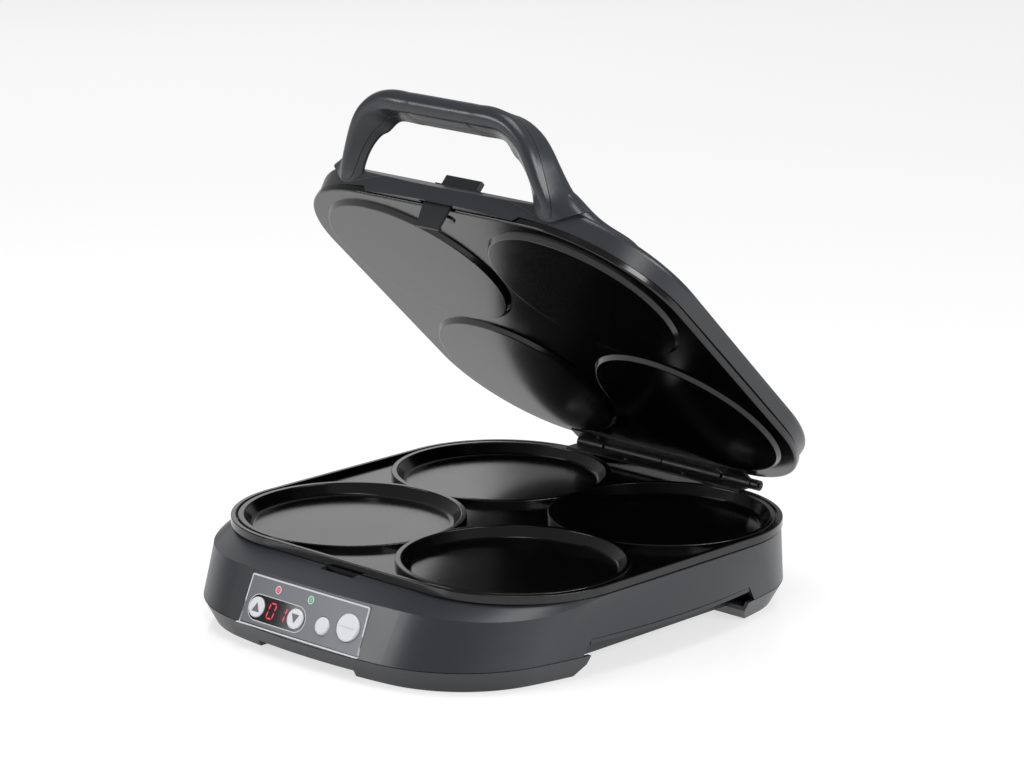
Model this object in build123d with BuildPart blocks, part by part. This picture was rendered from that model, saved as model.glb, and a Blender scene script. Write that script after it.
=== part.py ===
from build123d import *
import os
from math import cos, pi, radians, sin, sqrt, tan

os.makedirs("parts", exist_ok=True)

# Millimetres. X to the right, Y to the back, Z up from the table.
# Plan positions are measured from the middle of the four wells.
# The lid is described closed, lying over the base, and stored turned open about the hinge.

# The cooking wells and the lower plate
WELL_R = 60.0
WELL_DEPTH = 6.5
WELL_FLOOR_ROUND = 3.0
WELL_DRAFT = 4.0
LAND = 1.3
LIP_W = 3.5
LIP_ROUND = 0.6
BORDER_W = 4.0
RIM_W = 3.0
RECESS = 3.0
CAST_T = 3.5
PLATE_WALL = 4.5
SHOULDER = 2.2
SKIRT_T = 2.5
SKIRT_DROP = 6.5
PLATE_TOP = 50.0
PAN_Y = 10.07

# The base housing, down to the seam above the bottom cover
WALL = 2.6
FIT = 0.4
PLATE_GAP = 0.6
EDGE_OUT = 1.1
SEAM_OUT = 2.9
SEAM_Z = 13.0
SEAM_GAP = 0.4
PANEL_TILT = 23.0
FRONT_REACH = 34.9
REAR_REACH = 5.0
FRONT_R = 400.0
TOP_SIDE_R = 3000.0
SEAM_SIDE_R = 420.0
CORNER_R = 80.0
TOP_REAR_CORNER_R = 70.0
SEAM_FRONT_CORNER_R = 73.0
SEAM_REAR_CORNER_R = 60.0
APRON_START = 2.9
APRON_SLOPE = 12.4
APRON_DROP = 10.0
APRON_SIDE_RUN = 8.4
APRON_TOP_CORNER_R = 70.0
APRON_LOW_CORNER_R = 128.0
RIDGE_T = 7.2
LEDGE_X = 113.0
LEDGE_HALF = 54.0
LEDGE_T = 10.0
LUG_R = 4.0
LUG_X = 118.0
LUG_Y = 44.0
LUG_DROP = 16.0

# The bottom cover, its corner pods and the rubber feet
COVER_TUCK = 6.5
COVER_BOTTOM = 0.6
FLOOR_Z = 7.0
FLOOR_T = 2.5
FOOT_T = 2.0
FOOT_R = 8.0
FOOT_X = 86.0
FOOT_FRONT = 110.0
FOOT_REAR = 101.0
ARCH_HALF = 36.0
ARCH_Z = 4.2
SIDE_CUT_FRONT = 70.0
SIDE_CUT_REAR = 58.0
SIDE_CUT_Z = 21.5
SIDE_STRIP = 2.3
SIDE_SLOPE = 6.0
CHANNEL_X = 110.5
COVER_SCREW_X = 121.0
COVER_SCREW_Y = 20.0

# The lid and the upper plate
LID_OPEN = 42.5
LID_GAP = 4.0
BOSS_BASE_R = 58.0
BOSS_R = 55.0
BOSS_H = 2.5
BOSS_ROUND = 1.0
UPPER_WALL = 3.7
UPPER_SKIRT = 1.7
UPPER_SCREW_AT = 118.3
UPPER_SCREW_X = 2.8
LID_OUT = 1.2
LID_FRONT_REACH = 4.9
LID_REAR_REACH = 3.0
LID_FLARE = 1.4
LID_SIDE_H = 9.6
LID_TOP_SLOPE = 1.55
LID_FRONT_RISE = 3.75
LID_MID_RISE = 0.4
LID_REAR_RISE = 1.2
LID_TOP_ROUND = 3.0
LID_ROOF_T = 2.8
DOME_H = 4.0
DOME_FOOT = 22.0
DOME_TOP = 45.0
BAND_DROP = 3.0
BAND_HALF = 76.0
EDGE_RISE_START = 98.0
EDGE_RISE_END = 72.0
SLOPE_ANGLE = 35.0
SLOPE_FRONT = 3.85
SLOPE_LIFT = 11.0
HANDLE_TILT = 40.0
HANDLE_SPLIT_UP = 12.0
HANDLE_JOINT = 0.3
HANDLE_AHEAD = 6.15
HANDLE_UP = 10.1
HANDLE_H = 41.5
HANDLE_BAR_HALF = 35.9
HANDLE_BEND_R = 30.0
HANDLE_SPLAY = 24.0
HANDLE_LEG = 34.6
HANDLE_STEPS = 8
BAR_LEAD = 16.0
BEAD_R = 6.0
BEAD_TAPER = 3.4
BEAD_SETTLE = 6.0
LINER_R = 1.6
LINER_BACK = 10.2
LINER_DRAW = 3.5
LINER_IN = 12.2
LINER_SWAY = 3.6
CREST_R = 3.5
CREST_GROW = 3.0
CREST_BACK = 8.5
CREST_DEEPEN = 6.0
CREST_IN = 1.5
CREST_RISE = 5.0
FOOT_FLARE = 5.5
SHOULDER_Z = 71.0
SHOULDER_E = 140.0

# The hinge between the plates
HINGE_BACK = 6.2
HINGE_UP = 2.1
KNUCKLE_R = 3.0
HINGE_PIN_R = 1.5
PIN_PLAY = 0.05
KNUCKLE_GAP = 2.0
MIDDLE_GAP = 1.0
END_KNUCKLE = 19.7
LONG_KNUCKLE = 43.3
LEAF_T = 1.2
LEAF_DEPTH = 12.0
RETAINER_W = 4.5
LEAF_SCREW_R = 1.0
LEAF_SCREW_HEAD_R = 2.2
LEAF_SCREW_HEAD_H = 1.0
LEAF_SCREW_L = 4.0

# The latch in the front of the lid
PIVOT_BACK = 8.0
PIVOT_UP = 9.5
HUB_R = 3.2
LATCH_PIN_R = 1.5
LATCH_PIN_L = 36.0
FLAP_W = 19.5
FLAP_X = 1.0
FLAP_TAPER = 4.0
HUB_W = 22.0
FLAP_T = 1.6
FLAP_FRONT = 2.45
FLAP_DROP = 9.4
BARB = 1.6
BARB_H = 2.0
STEM_W = 20.0
STEM_T = 1.6
THUMB_W = 25.5
THUMB_DEPTH = 3.6
THUMB_H = 6.2
THUMB_FRONT = 6.2
BEZEL_W = 33.5
BEZEL_DEPTH = 6.5
BEZEL_T = 2.2
BEZEL_RISE = 19.4
NOTCH_W = 24.4
NOTCH_FRONT = 3.1
CATCH_T = 2.25
CATCH_H = 1.7
CHEEK_X = 16.5
CHEEK_T = 4.0
CHEEK_D = 8.0
SHELF_T = 1.5
SHELF_FRONT = 5.2
SHELF_REAR = 18.0
ARM_ROOM = 1.2
THUMB_LIFT = 0.5
FRAME_SCREW_XS = (-34.0, -22.0, 22.0, 34.0)
FRAME_SCREW_DOWN = 6.3
FRAME_SCREW_GRIP = 2.5

# The control panel, measured up its face from its lower edge
PANEL_W = 89.5
PANEL_H = 26.6
PANEL_LIFT = 2.1
PANEL_X = -2.2
PANEL_LEDGE = 1.8
PANEL_SILL = 2.3
FASCIA_T = 1.4
FASCIA_PROUD = 0.2
BUTTON_PLAY = 0.3
ARROW_R = 5.6
ARROW_V = 9.2
UP_X = -35.8
DOWN_X = -5.2
MORE_R = 5.0
MORE_X = 14.3
MORE_V = 9.7
START_R = 7.6
START_X = 31.4
START_V = 12.9
LIGHT_R = 1.5
LIGHT_V = 21.2
POWER_X = -23.4
READY_X = 1.7
WINDOW_MARGIN = 1.5
BUTTON_PROUD = 1.2
BOARD_DEPTH = 10.0
BOARD_T = 1.6
SWITCH_H = 3.5
SWITCH_W = 6.0
SWITCH_GAP = 1.0
FLANGE_W = 1.2
FLANGE_T = 1.0
STEM_R = 1.8
DIGITS_W = 14.5
DIGITS_H = 12.0
BOARD_W = 100.0
BOARD_H = 19.0
BOARD_V = 14.4
POST_R = 2.8
POST_X = 46.5
POST_V = 6.5

# Heating and electrics
TUBE_R = 3.25
LOOP_HALF = 62.0
LOOP_R = 14.0
TAIL_X = 14.0
TAIL_Y = 94.0
SEAT = 0.2
SHIELD_HALF = 100.0
SHIELD_T = 0.8
SHIELD_DROP = 18.0
UPPER_SHIELD_HALF = 78.0
UPPER_SHIELD_RISE = 11.0
STUD_R = 5.0
SCREW_R = 1.5
SCREW_PLAY = 0.05
HEAD_R = 3.0
HEAD_H = 1.8
SENSOR_R = 8.0
SENSOR_H = 5.0
POWER_X_MID = 50.0
POWER_Y_MID = -72.0
POWER_W = 70.0
POWER_D = 45.0
POWER_BOARD_RISE = 8.0
TERMINAL_R = 1.2
TERMINAL_L = 9.0
SENSOR_X = 34.0
RELAY_W = 26.0
RELAY_D = 14.0
RELAY_H = 10.0
INLET_X = -40.0
INLET_Z = 28.0
INLET_R = 4.6
INLET_FLANGE_R = 6.0
INLET_INSET = 3.6
INLET_FLANGE_T = 2.0
INLET_DEPTH = 7.0
INLET_BORE_R = 3.5

# Sizes that follow from those above
PITCH = 2 * WELL_R + LAND
PLATE_CORNER = WELL_R + LIP_W + BORDER_W
PLATE_HALF = PITCH / 2 + PLATE_CORNER
HIGH_SHOULDER = PLATE_TOP - PLATE_WALL
HIGH_HOUSING = HIGH_SHOULDER - PLATE_GAP
PAN_BOTTOM = PLATE_TOP - WELL_DEPTH - CAST_T
SLAB_BOTTOM = PLATE_TOP - RECESS - CAST_T
OPENING_INSET = SHOULDER - FIT
LEDGE_TOP = PLATE_TOP - LUG_DROP
HINGE_Y = PLATE_HALF + HINGE_BACK
HINGE_Z = PLATE_TOP + HINGE_UP
HIGH_UPPER = PLATE_TOP + LID_GAP
HIGH_UPPER_SHOULDER = HIGH_UPPER + UPPER_WALL
HIGH_SHELL = HIGH_UPPER_SHOULDER + PLATE_GAP
UPPER_BACK = HIGH_UPPER + CAST_T
LID_CREASE = HIGH_SHELL + LID_SIDE_H
LID_TOP_REACH = PLATE_HALF + 10
BAND_Z = HIGH_SHELL - BAND_DROP
PIVOT_Y = PIVOT_BACK - PLATE_HALF
PIVOT_Z = HIGH_UPPER + PIVOT_UP
FLAP_Y = -PLATE_HALF - FLAP_FRONT
HOLE_R = SCREW_R + SCREW_PLAY
LEDGE_W = 2 * (PLATE_HALF - LEDGE_X)
LEDGE_MID = LEDGE_X + LEDGE_W / 2
CATCH_Y = -PLATE_HALF + OPENING_INSET - CATCH_T
REAR_WALL_Y = PLATE_HALF + INLET_INSET
WELL_SPOTS = [(x * PITCH / 2, y * PITCH / 2) for x in (-1, 1) for y in (-1, 1)]
LUG_SPOTS = [(x * LUG_X, y * LUG_Y) for x in (-1, 1) for y in (-1, 1)]
COVER_SCREW_SPOTS = [(x * COVER_SCREW_X, y * COVER_SCREW_Y) for x in (-1, 1) for y in (-1, 1)]
BOARD_POST_SPOTS = [(x, v) for x in (-POST_X, POST_X) for v in (-POST_V, POST_V)]
FOOT_SPOTS = [(x * FOOT_X, y) for x in (-1, 1) for y in (-FOOT_FRONT, FOOT_REAR)]
CHANNEL_L = SIDE_CUT_FRONT + SIDE_CUT_REAR
CHANNEL_Y = (SIDE_CUT_REAR - SIDE_CUT_FRONT) / 2
CHANNEL_W = PLATE_HALF
CHANNEL_MID = CHANNEL_X + CHANNEL_W / 2
CHANNEL_WALL = CHANNEL_X - FLOOR_T / 2
POWER_BOARD_Z = FLOOR_Z + FLOOR_T + POWER_BOARD_RISE
BOARD_STUDS = [
    (POWER_X_MID + x * POWER_W / 2 - x * 5, POWER_Y_MID + y * POWER_D / 2 - y * 5)
    for x in (-1, 1)
    for y in (-1, 1)
]
UP_X_SPAN = DOWN_X - UP_X
LEAF_STRIP = LEAF_DEPTH - KNUCKLE_R - FIT
LEAF_MID = HINGE_Y - LEAF_DEPTH + LEAF_STRIP / 2
LEAF_TAB = HINGE_Y - KNUCKLE_R - 2
LEAF_SCREW_Y = PLATE_HALF - RIM_W / 2
SHELF_D = SHELF_REAR - SHELF_FRONT
SHELF_MID = -PLATE_HALF + (SHELF_FRONT + SHELF_REAR) / 2
BEZEL_MID = PIVOT_Y
THUMB_Z = PLATE_TOP + BEZEL_RISE + BEZEL_T + THUMB_LIFT
STEM_TOP = THUMB_Z + THUMB_H - 2
ARM_Z = HIGH_SHELL + SHELF_T + 0.3
HOOK_Z = PLATE_TOP - FLAP_DROP
ROOF_RISE = tan(radians(SLOPE_ANGLE))
ROOF_Z = PLATE_TOP + SLOPE_LIFT + LID_GAP - 1.4
KNUCKLES = [
    (-MIDDLE_GAP / 2 - LONG_KNUCKLE - KNUCKLE_GAP - END_KNUCKLE, END_KNUCKLE, "base"),
    (-MIDDLE_GAP / 2 - LONG_KNUCKLE, LONG_KNUCKLE, "lid"),
    (MIDDLE_GAP / 2, LONG_KNUCKLE, "lid"),
    (MIDDLE_GAP / 2 + LONG_KNUCKLE + KNUCKLE_GAP, END_KNUCKLE, "base"),
]
HINGE_END = MIDDLE_GAP / 2 + LONG_KNUCKLE + KNUCKLE_GAP + END_KNUCKLE
BASE_LEAF_SCREWS = (-HINGE_END / 3, HINGE_END / 3)
LID_LEAF_SCREWS = (-HINGE_END + END_KNUCKLE, HINGE_END - END_KNUCKLE)

# The panel's directions, out of its face and up it, and its lowest middle point
PANEL_OUT = Vector(0, -cos(radians(PANEL_TILT)), sin(radians(PANEL_TILT)))
PANEL_UP = Vector(0, sin(radians(PANEL_TILT)), cos(radians(PANEL_TILT)))
PANEL_FOOT = Vector(0, PAN_Y - PLATE_HALF - FRONT_REACH, SEAM_Z) + PANEL_UP * PANEL_LIFT

HINGE = Location((0, PAN_Y + HINGE_Y, HINGE_Z))
OPENED = HINGE * Location((0, 0, 0), (-LID_OPEN, 0, 0)) * HINGE.inverse()


def at(z, x=0.0, y=0.0):
    """Level plane at height z over a place on the plate."""
    return Plane(origin=(x, PAN_Y + y, z))


def across(x=0.0):
    """Upright plane facing right. Its axes run back from the middle of the wells, and up."""
    return Plane(origin=(x, PAN_Y, 0), x_dir=(0, 1, 0), z_dir=(1, 0, 0))


def facing(y=0.0):
    """Upright plane facing the front. Its axes run right and up."""
    return Plane(origin=(0, PAN_Y + y, 0), x_dir=(1, 0, 0), z_dir=(0, -1, 0))


def leaning(y, z, angle):
    """Plane through the line at y and z that faces up, and leans to the front by an angle."""
    tilt = radians(angle)
    return Plane(origin=(0, PAN_Y + y, z), x_dir=(1, 0, 0), z_dir=(0, -sin(tilt), cos(tilt)))


def lid(plane):
    """The same plane carried round the hinge with the lid."""
    return Plane(OPENED * plane.location)


def opened(shape):
    """A closed piece of the lid, turned open about the hinge."""
    with BuildPart() as turned:
        with Locations(OPENED):
            add(shape)
    return turned.part


def sag(x):
    """How far the bulged front falls back beside its middle."""
    return FRONT_R - sqrt(FRONT_R**2 - x**2)


def panel(depth=0.0, x=0.0, v=0.0):
    """Plane behind the panel's face, centred at x across and v up the panel."""
    origin = PANEL_FOOT + Vector(x, 0, 0) + PANEL_UP * v - PANEL_OUT * depth
    return Plane(origin=origin, x_dir=(1, 0, 0), z_dir=PANEL_OUT)


def spots(places, z):
    """The level planes at height z over a list of places."""
    return [at(z, x, y) for x, y in places]


def corner_centre(side_centre, side_r, end_centre, end_r, corner_r, back):
    """Centre of the corner arc that runs smoothly into a side arc and an end arc."""
    reach_side = side_r - corner_r
    reach_end = end_r - corner_r
    gap = end_centre - side_centre
    along = (reach_side**2 - reach_end**2 + gap.length**2) / (2 * gap.length)
    aside = sqrt(reach_side**2 - along**2)
    unit = gap.normalized()
    normal = Vector(-unit.Y, unit.X)
    first = side_centre + unit * along + normal * aside
    second = side_centre + unit * along - normal * aside
    return max(first, second, key=lambda point: point.X + back * point.Y)


def body_outline(side, front, rear, side_r, end_r, front_corner, rear_corner):
    """Closed outline of eight smooth arcs, bulged on every side, the same left and right."""
    side_centre = Vector(side - side_r, 0)
    on_side = {}
    on_end = {}
    middle = {}
    for back, reach, corner_r in ((-1, front, front_corner), (1, rear, rear_corner)):
        end_centre = Vector(0, back * (reach - end_r))
        centre = corner_centre(side_centre, side_r, end_centre, end_r, corner_r, back)
        to_side = (centre - side_centre).normalized()
        to_end = (centre - end_centre).normalized()
        on_side[back] = side_centre + to_side * side_r
        on_end[back] = end_centre + to_end * end_r
        middle[back] = centre + (to_side + to_end).normalized() * corner_r

    def left(point):
        return (-point.X, point.Y)

    with BuildLine() as outline:
        ThreePointArc(left(on_end[-1]), (0, -front), on_end[-1])
        ThreePointArc(on_end[-1], middle[-1], on_side[-1])
        ThreePointArc(on_side[-1], (side, 0), on_side[1])
        ThreePointArc(on_side[1], middle[1], on_end[1])
        ThreePointArc(on_end[1], (0, rear), left(on_end[1]))
        ThreePointArc(left(on_end[1]), left(middle[1]), left(on_side[1]))
        ThreePointArc(left(on_side[1]), (-side, 0), left(on_side[-1]))
        ThreePointArc(left(on_side[-1]), left(middle[-1]), left(on_end[-1]))
    make_face(outline.edges())


def seam_outline(inset):
    """Outline of the base at its seam, drawn in by a distance."""
    body_outline(
        PLATE_HALF + SEAM_OUT - inset,
        PLATE_HALF + FRONT_REACH - inset,
        PLATE_HALF + REAR_REACH + SEAM_OUT - inset,
        SEAM_SIDE_R - inset,
        FRONT_R - inset,
        SEAM_FRONT_CORNER_R - inset,
        SEAM_REAR_CORNER_R - inset,
    )


def top_outline(inset, drop=0.0):
    """Outline of the base below the plate's shoulder, where the front leans out as it goes down."""
    lean = (HIGH_HOUSING - drop - SEAM_Z) * tan(radians(PANEL_TILT))
    body_outline(
        PLATE_HALF + EDGE_OUT - inset,
        PLATE_HALF + FRONT_REACH - lean - inset,
        PLATE_HALF + REAR_REACH - inset,
        TOP_SIDE_R - inset,
        FRONT_R - inset,
        CORNER_R - inset,
        TOP_REAR_CORNER_R - inset,
    )


def lid_outline(inset):
    """Outline of the lid, drawn in by a distance."""
    body_outline(
        PLATE_HALF + LID_OUT - inset,
        PLATE_HALF + LID_FRONT_REACH - inset,
        PLATE_HALF + LID_REAR_REACH - inset,
        TOP_SIDE_R - inset,
        FRONT_R - inset,
        TOP_REAR_CORNER_R - inset,
        TOP_REAR_CORNER_R - inset,
    )


def plate_square(inset, mode=Mode.ADD):
    """Rounded square that shares its corner centres with the wells."""
    side = 2 * (PLATE_HALF - inset)
    RectangleRounded(side, side, PLATE_CORNER - inset, mode=mode)


def save(shape, name):
    """Label a finished piece and write its file."""
    shape.label = name
    export_step(shape, f"parts/{name}.step")


def screws(places, length, head_r=HEAD_R, head_h=HEAD_H, radius=SCREW_R):
    """Group of screws whose heads stand on planes and whose shanks run below them."""
    with BuildPart() as group:
        for place in places:
            with BuildSketch(place):
                Circle(head_r)
            extrude(amount=head_h)
            with BuildSketch(place):
                Circle(radius)
            extrude(amount=-length)
    return group.part


def flipped(plane):
    """The same place facing the other way."""
    return Plane(origin=plane.origin, x_dir=plane.x_dir, z_dir=-plane.z_dir)


# Lower plate: wells inside raised lips, recessed corners between them, a rim, a wall and a hidden skirt
MOUTH = LIP_ROUND * (1 - cos(radians(45)))

with BuildPart() as well:
    with BuildSketch(Plane.XZ):
        with BuildLine() as profile:
            Polyline(
                (WELL_R + LIP_ROUND, 0),
                (WELL_R + LIP_ROUND, 1),
                (0, 1),
                (0, -WELL_DEPTH),
                (WELL_R - WELL_DRAFT, -WELL_DEPTH),
                (WELL_R, -LIP_ROUND),
            )
            ThreePointArc(
                (WELL_R, -LIP_ROUND),
                (WELL_R + MOUTH, -MOUTH),
                (WELL_R + LIP_ROUND, 0),
            )
        make_face()
    revolve(axis=Axis.Z)
    fillet(well.edges().group_by(Axis.Z)[0], WELL_FLOOR_ROUND)

with BuildPart() as lip:
    with BuildSketch():
        Circle(WELL_R + LIP_W)
    extrude(amount=-WELL_DEPTH - CAST_T)
    fillet(lip.edges().group_by(Axis.Z)[-1], LIP_ROUND)

with BuildPart() as lower_plate:
    with BuildSketch(at(HIGH_SHOULDER)):
        plate_square(0)
        plate_square(RIM_W, Mode.SUBTRACT)
    extrude(amount=PLATE_WALL)
    fillet(lower_plate.edges().group_by(Axis.Z)[-1], LIP_ROUND)
    with BuildSketch(at(SLAB_BOTTOM)):
        plate_square(SHOULDER)
    extrude(amount=CAST_T)
    with BuildSketch(at(HIGH_SHOULDER - SKIRT_DROP)):
        plate_square(SHOULDER)
        plate_square(SHOULDER + SKIRT_T, Mode.SUBTRACT)
    extrude(amount=SKIRT_DROP + 1)
    with Locations(*spots(WELL_SPOTS, PLATE_TOP)):
        add(lip.part)
    with BuildSketch(*spots(LUG_SPOTS, LEDGE_TOP)):
        Circle(LUG_R)
    extrude(amount=SLAB_BOTTOM + 1 - LEDGE_TOP)
    with BuildSketch(at(PLATE_TOP - SHIELD_DROP)):
        Circle(STUD_R)
    extrude(amount=SLAB_BOTTOM + 1 - PLATE_TOP + SHIELD_DROP)
    with Locations(*spots(WELL_SPOTS, PLATE_TOP)):
        add(well.part, mode=Mode.SUBTRACT)
    with BuildSketch(*spots(LUG_SPOTS, LEDGE_TOP)):
        Circle(HOLE_R)
    extrude(amount=5, mode=Mode.SUBTRACT)
    with BuildSketch(at(PLATE_TOP - SHIELD_DROP)):
        Circle(HOLE_R)
    extrude(amount=7, mode=Mode.SUBTRACT)
    with BuildSketch(*spots([(x, LEAF_SCREW_Y) for x in BASE_LEAF_SCREWS], PLATE_TOP)):
        Circle(LEAF_SCREW_R + SCREW_PLAY)
    extrude(amount=-LEAF_SCREW_L, mode=Mode.SUBTRACT)

save(lower_plate.part, "lower_plate")

lower_plate_screw_group = screws(
    [flipped(place) for place in spots(LUG_SPOTS, LEDGE_TOP - 6)], 10
)
save(lower_plate_screw_group, "lower_plate_screws")

# The apron's slope: shallow in front of the plate and steeper round the front corners
with BuildPart() as apron_form:
    with BuildSketch(at(HIGH_HOUSING)):
        body_outline(
            PLATE_HALF + EDGE_OUT + FIT,
            PLATE_HALF + APRON_START,
            PLATE_HALF + REAR_REACH + WALL,
            TOP_SIDE_R,
            FRONT_R,
            APRON_TOP_CORNER_R,
            TOP_REAR_CORNER_R,
        )
    with BuildSketch(at(HIGH_HOUSING - APRON_DROP)):
        body_outline(
            PLATE_HALF + EDGE_OUT + APRON_SIDE_RUN,
            PLATE_HALF + APRON_START + APRON_DROP / tan(radians(APRON_SLOPE)),
            PLATE_HALF + REAR_REACH + APRON_SIDE_RUN,
            TOP_SIDE_R,
            FRONT_R,
            APRON_LOW_CORNER_R,
            TOP_REAR_CORNER_R,
        )
    loft()
    with BuildSketch(at(0)):
        Rectangle(4 * PLATE_HALF, 4 * PLATE_HALF)
    extrude(amount=HIGH_HOUSING - APRON_DROP)

# Base housing: a hollow skirt with a sloped apron in front of the plate
with BuildPart() as housing_form:
    with BuildSketch(at(SEAM_Z)):
        seam_outline(0)
    with BuildSketch(at(HIGH_HOUSING)):
        top_outline(0)
    loft()

with BuildPart() as housing_room:
    with BuildSketch(at(SEAM_Z)):
        seam_outline(WALL)
    with BuildSketch(at(HIGH_HOUSING - RIDGE_T)):
        top_outline(WALL, RIDGE_T)
    loft()
    # A ledge along each side stays for the plate's screws
    with BuildSketch(*[at(LEDGE_TOP - LEDGE_T, x, 0) for x in (-LEDGE_MID, LEDGE_MID)]):
        Rectangle(LEDGE_W, 2 * LEDGE_HALF)
    extrude(amount=LEDGE_T, mode=Mode.SUBTRACT)

BOARD_POSTS = [panel(BOARD_DEPTH, x, BOARD_V + v) for x, v in BOARD_POST_SPOTS]

with BuildPart() as panel_block:
    with BuildSketch(panel()):
        with Locations((PANEL_X, PANEL_H / 2)):
            Rectangle(PANEL_W + FIT, PANEL_H + FIT)
    extrude(amount=8, both=True)
    with Locations(Location(-PANEL_OUT * FASCIA_T)):
        add(housing_form.part, mode=Mode.SUBTRACT)
    with BuildSketch(panel()):
        with Locations((PANEL_X, (PANEL_H + PANEL_SILL - PANEL_LEDGE) / 2)):
            Rectangle(PANEL_W - 2 * PANEL_LEDGE, PANEL_H - PANEL_SILL - PANEL_LEDGE)
    extrude(amount=-6)

with BuildPart() as base_housing:
    add(housing_form.part)
    add(housing_room.part, mode=Mode.SUBTRACT)
    with BuildSketch(*spots(COVER_SCREW_SPOTS, SIDE_CUT_Z)):
        Circle(LUG_R)
    extrude(amount=LEDGE_T)
    with BuildSketch(at(HIGH_HOUSING - RIDGE_T - 1)):
        plate_square(OPENING_INSET)
    extrude(amount=RIDGE_T + 2, mode=Mode.SUBTRACT)
    add(apron_form.part, mode=Mode.INTERSECT)
    # The slot for the latch, the catch behind it and the pocket under the catch
    with BuildSketch(across()):
        with BuildLine():
            Polyline(
                (FLAP_Y - NOTCH_FRONT, HIGH_HOUSING + 1),
                (FLAP_Y - NOTCH_FRONT, HIGH_HOUSING - RIDGE_T - 2),
                (-PLATE_HALF + 1, HIGH_HOUSING - RIDGE_T - 2),
                (-PLATE_HALF + 1, HIGH_HOUSING - CATCH_H),
                (CATCH_Y, HIGH_HOUSING - CATCH_H),
                (CATCH_Y, HIGH_HOUSING + 1),
                close=True,
            )
        make_face()
    extrude(amount=NOTCH_W / 2, both=True, mode=Mode.SUBTRACT)
    # Raised lower edge along each side
    with BuildSketch(across()):
        with BuildLine():
            Polyline(
                (-SIDE_CUT_FRONT - SIDE_SLOPE, SEAM_Z - 1),
                (-SIDE_CUT_FRONT, SIDE_CUT_Z),
                (SIDE_CUT_REAR, SIDE_CUT_Z),
                (SIDE_CUT_REAR + SIDE_SLOPE, SEAM_Z - 1),
                close=True,
            )
        make_face()
    extrude(amount=2 * PLATE_HALF, both=True, mode=Mode.SUBTRACT)
    add(panel_block.part, mode=Mode.SUBTRACT)
    # Posts that the control board stands on
    with BuildSketch(*BOARD_POSTS):
        Circle(POST_R)
    extrude(amount=BOARD_DEPTH - 4)
    with BuildSketch(*BOARD_POSTS):
        Circle(HOLE_R)
    extrude(amount=5, mode=Mode.SUBTRACT)
    # Screw holes of the plate and of the bottom cover
    with BuildSketch(*spots(LUG_SPOTS, LEDGE_TOP)):
        Circle(HOLE_R)
    extrude(amount=-LEDGE_T, mode=Mode.SUBTRACT)
    with BuildSketch(*spots(LUG_SPOTS, LEDGE_TOP - 6)):
        Circle(HEAD_R + FIT)
    extrude(amount=-LEDGE_T, mode=Mode.SUBTRACT)
    with BuildSketch(*spots(COVER_SCREW_SPOTS, SIDE_CUT_Z)):
        Circle(HOLE_R)
    extrude(amount=9, mode=Mode.SUBTRACT)
    # The mains lead comes in at the back
    with BuildSketch(facing(REAR_WALL_Y)):
        with Locations((INLET_X, INLET_Z)):
            Circle(INLET_R)
    extrude(amount=12, both=True, mode=Mode.SUBTRACT)
    with BuildSketch(facing(REAR_WALL_Y)):
        with Locations((INLET_X, INLET_Z)):
            Circle(INLET_FLANGE_R + FIT / 2)
    extrude(amount=-12, mode=Mode.SUBTRACT)

save(base_housing.part, "base_housing")

# Bottom cover: a tray with four deep corner pods and a raised channel along each side
with BuildPart() as cover_form:
    with BuildSketch(at(SEAM_Z - SEAM_GAP)):
        seam_outline(0)
    with BuildSketch(at(COVER_BOTTOM)):
        seam_outline(COVER_TUCK)
    loft()

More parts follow.
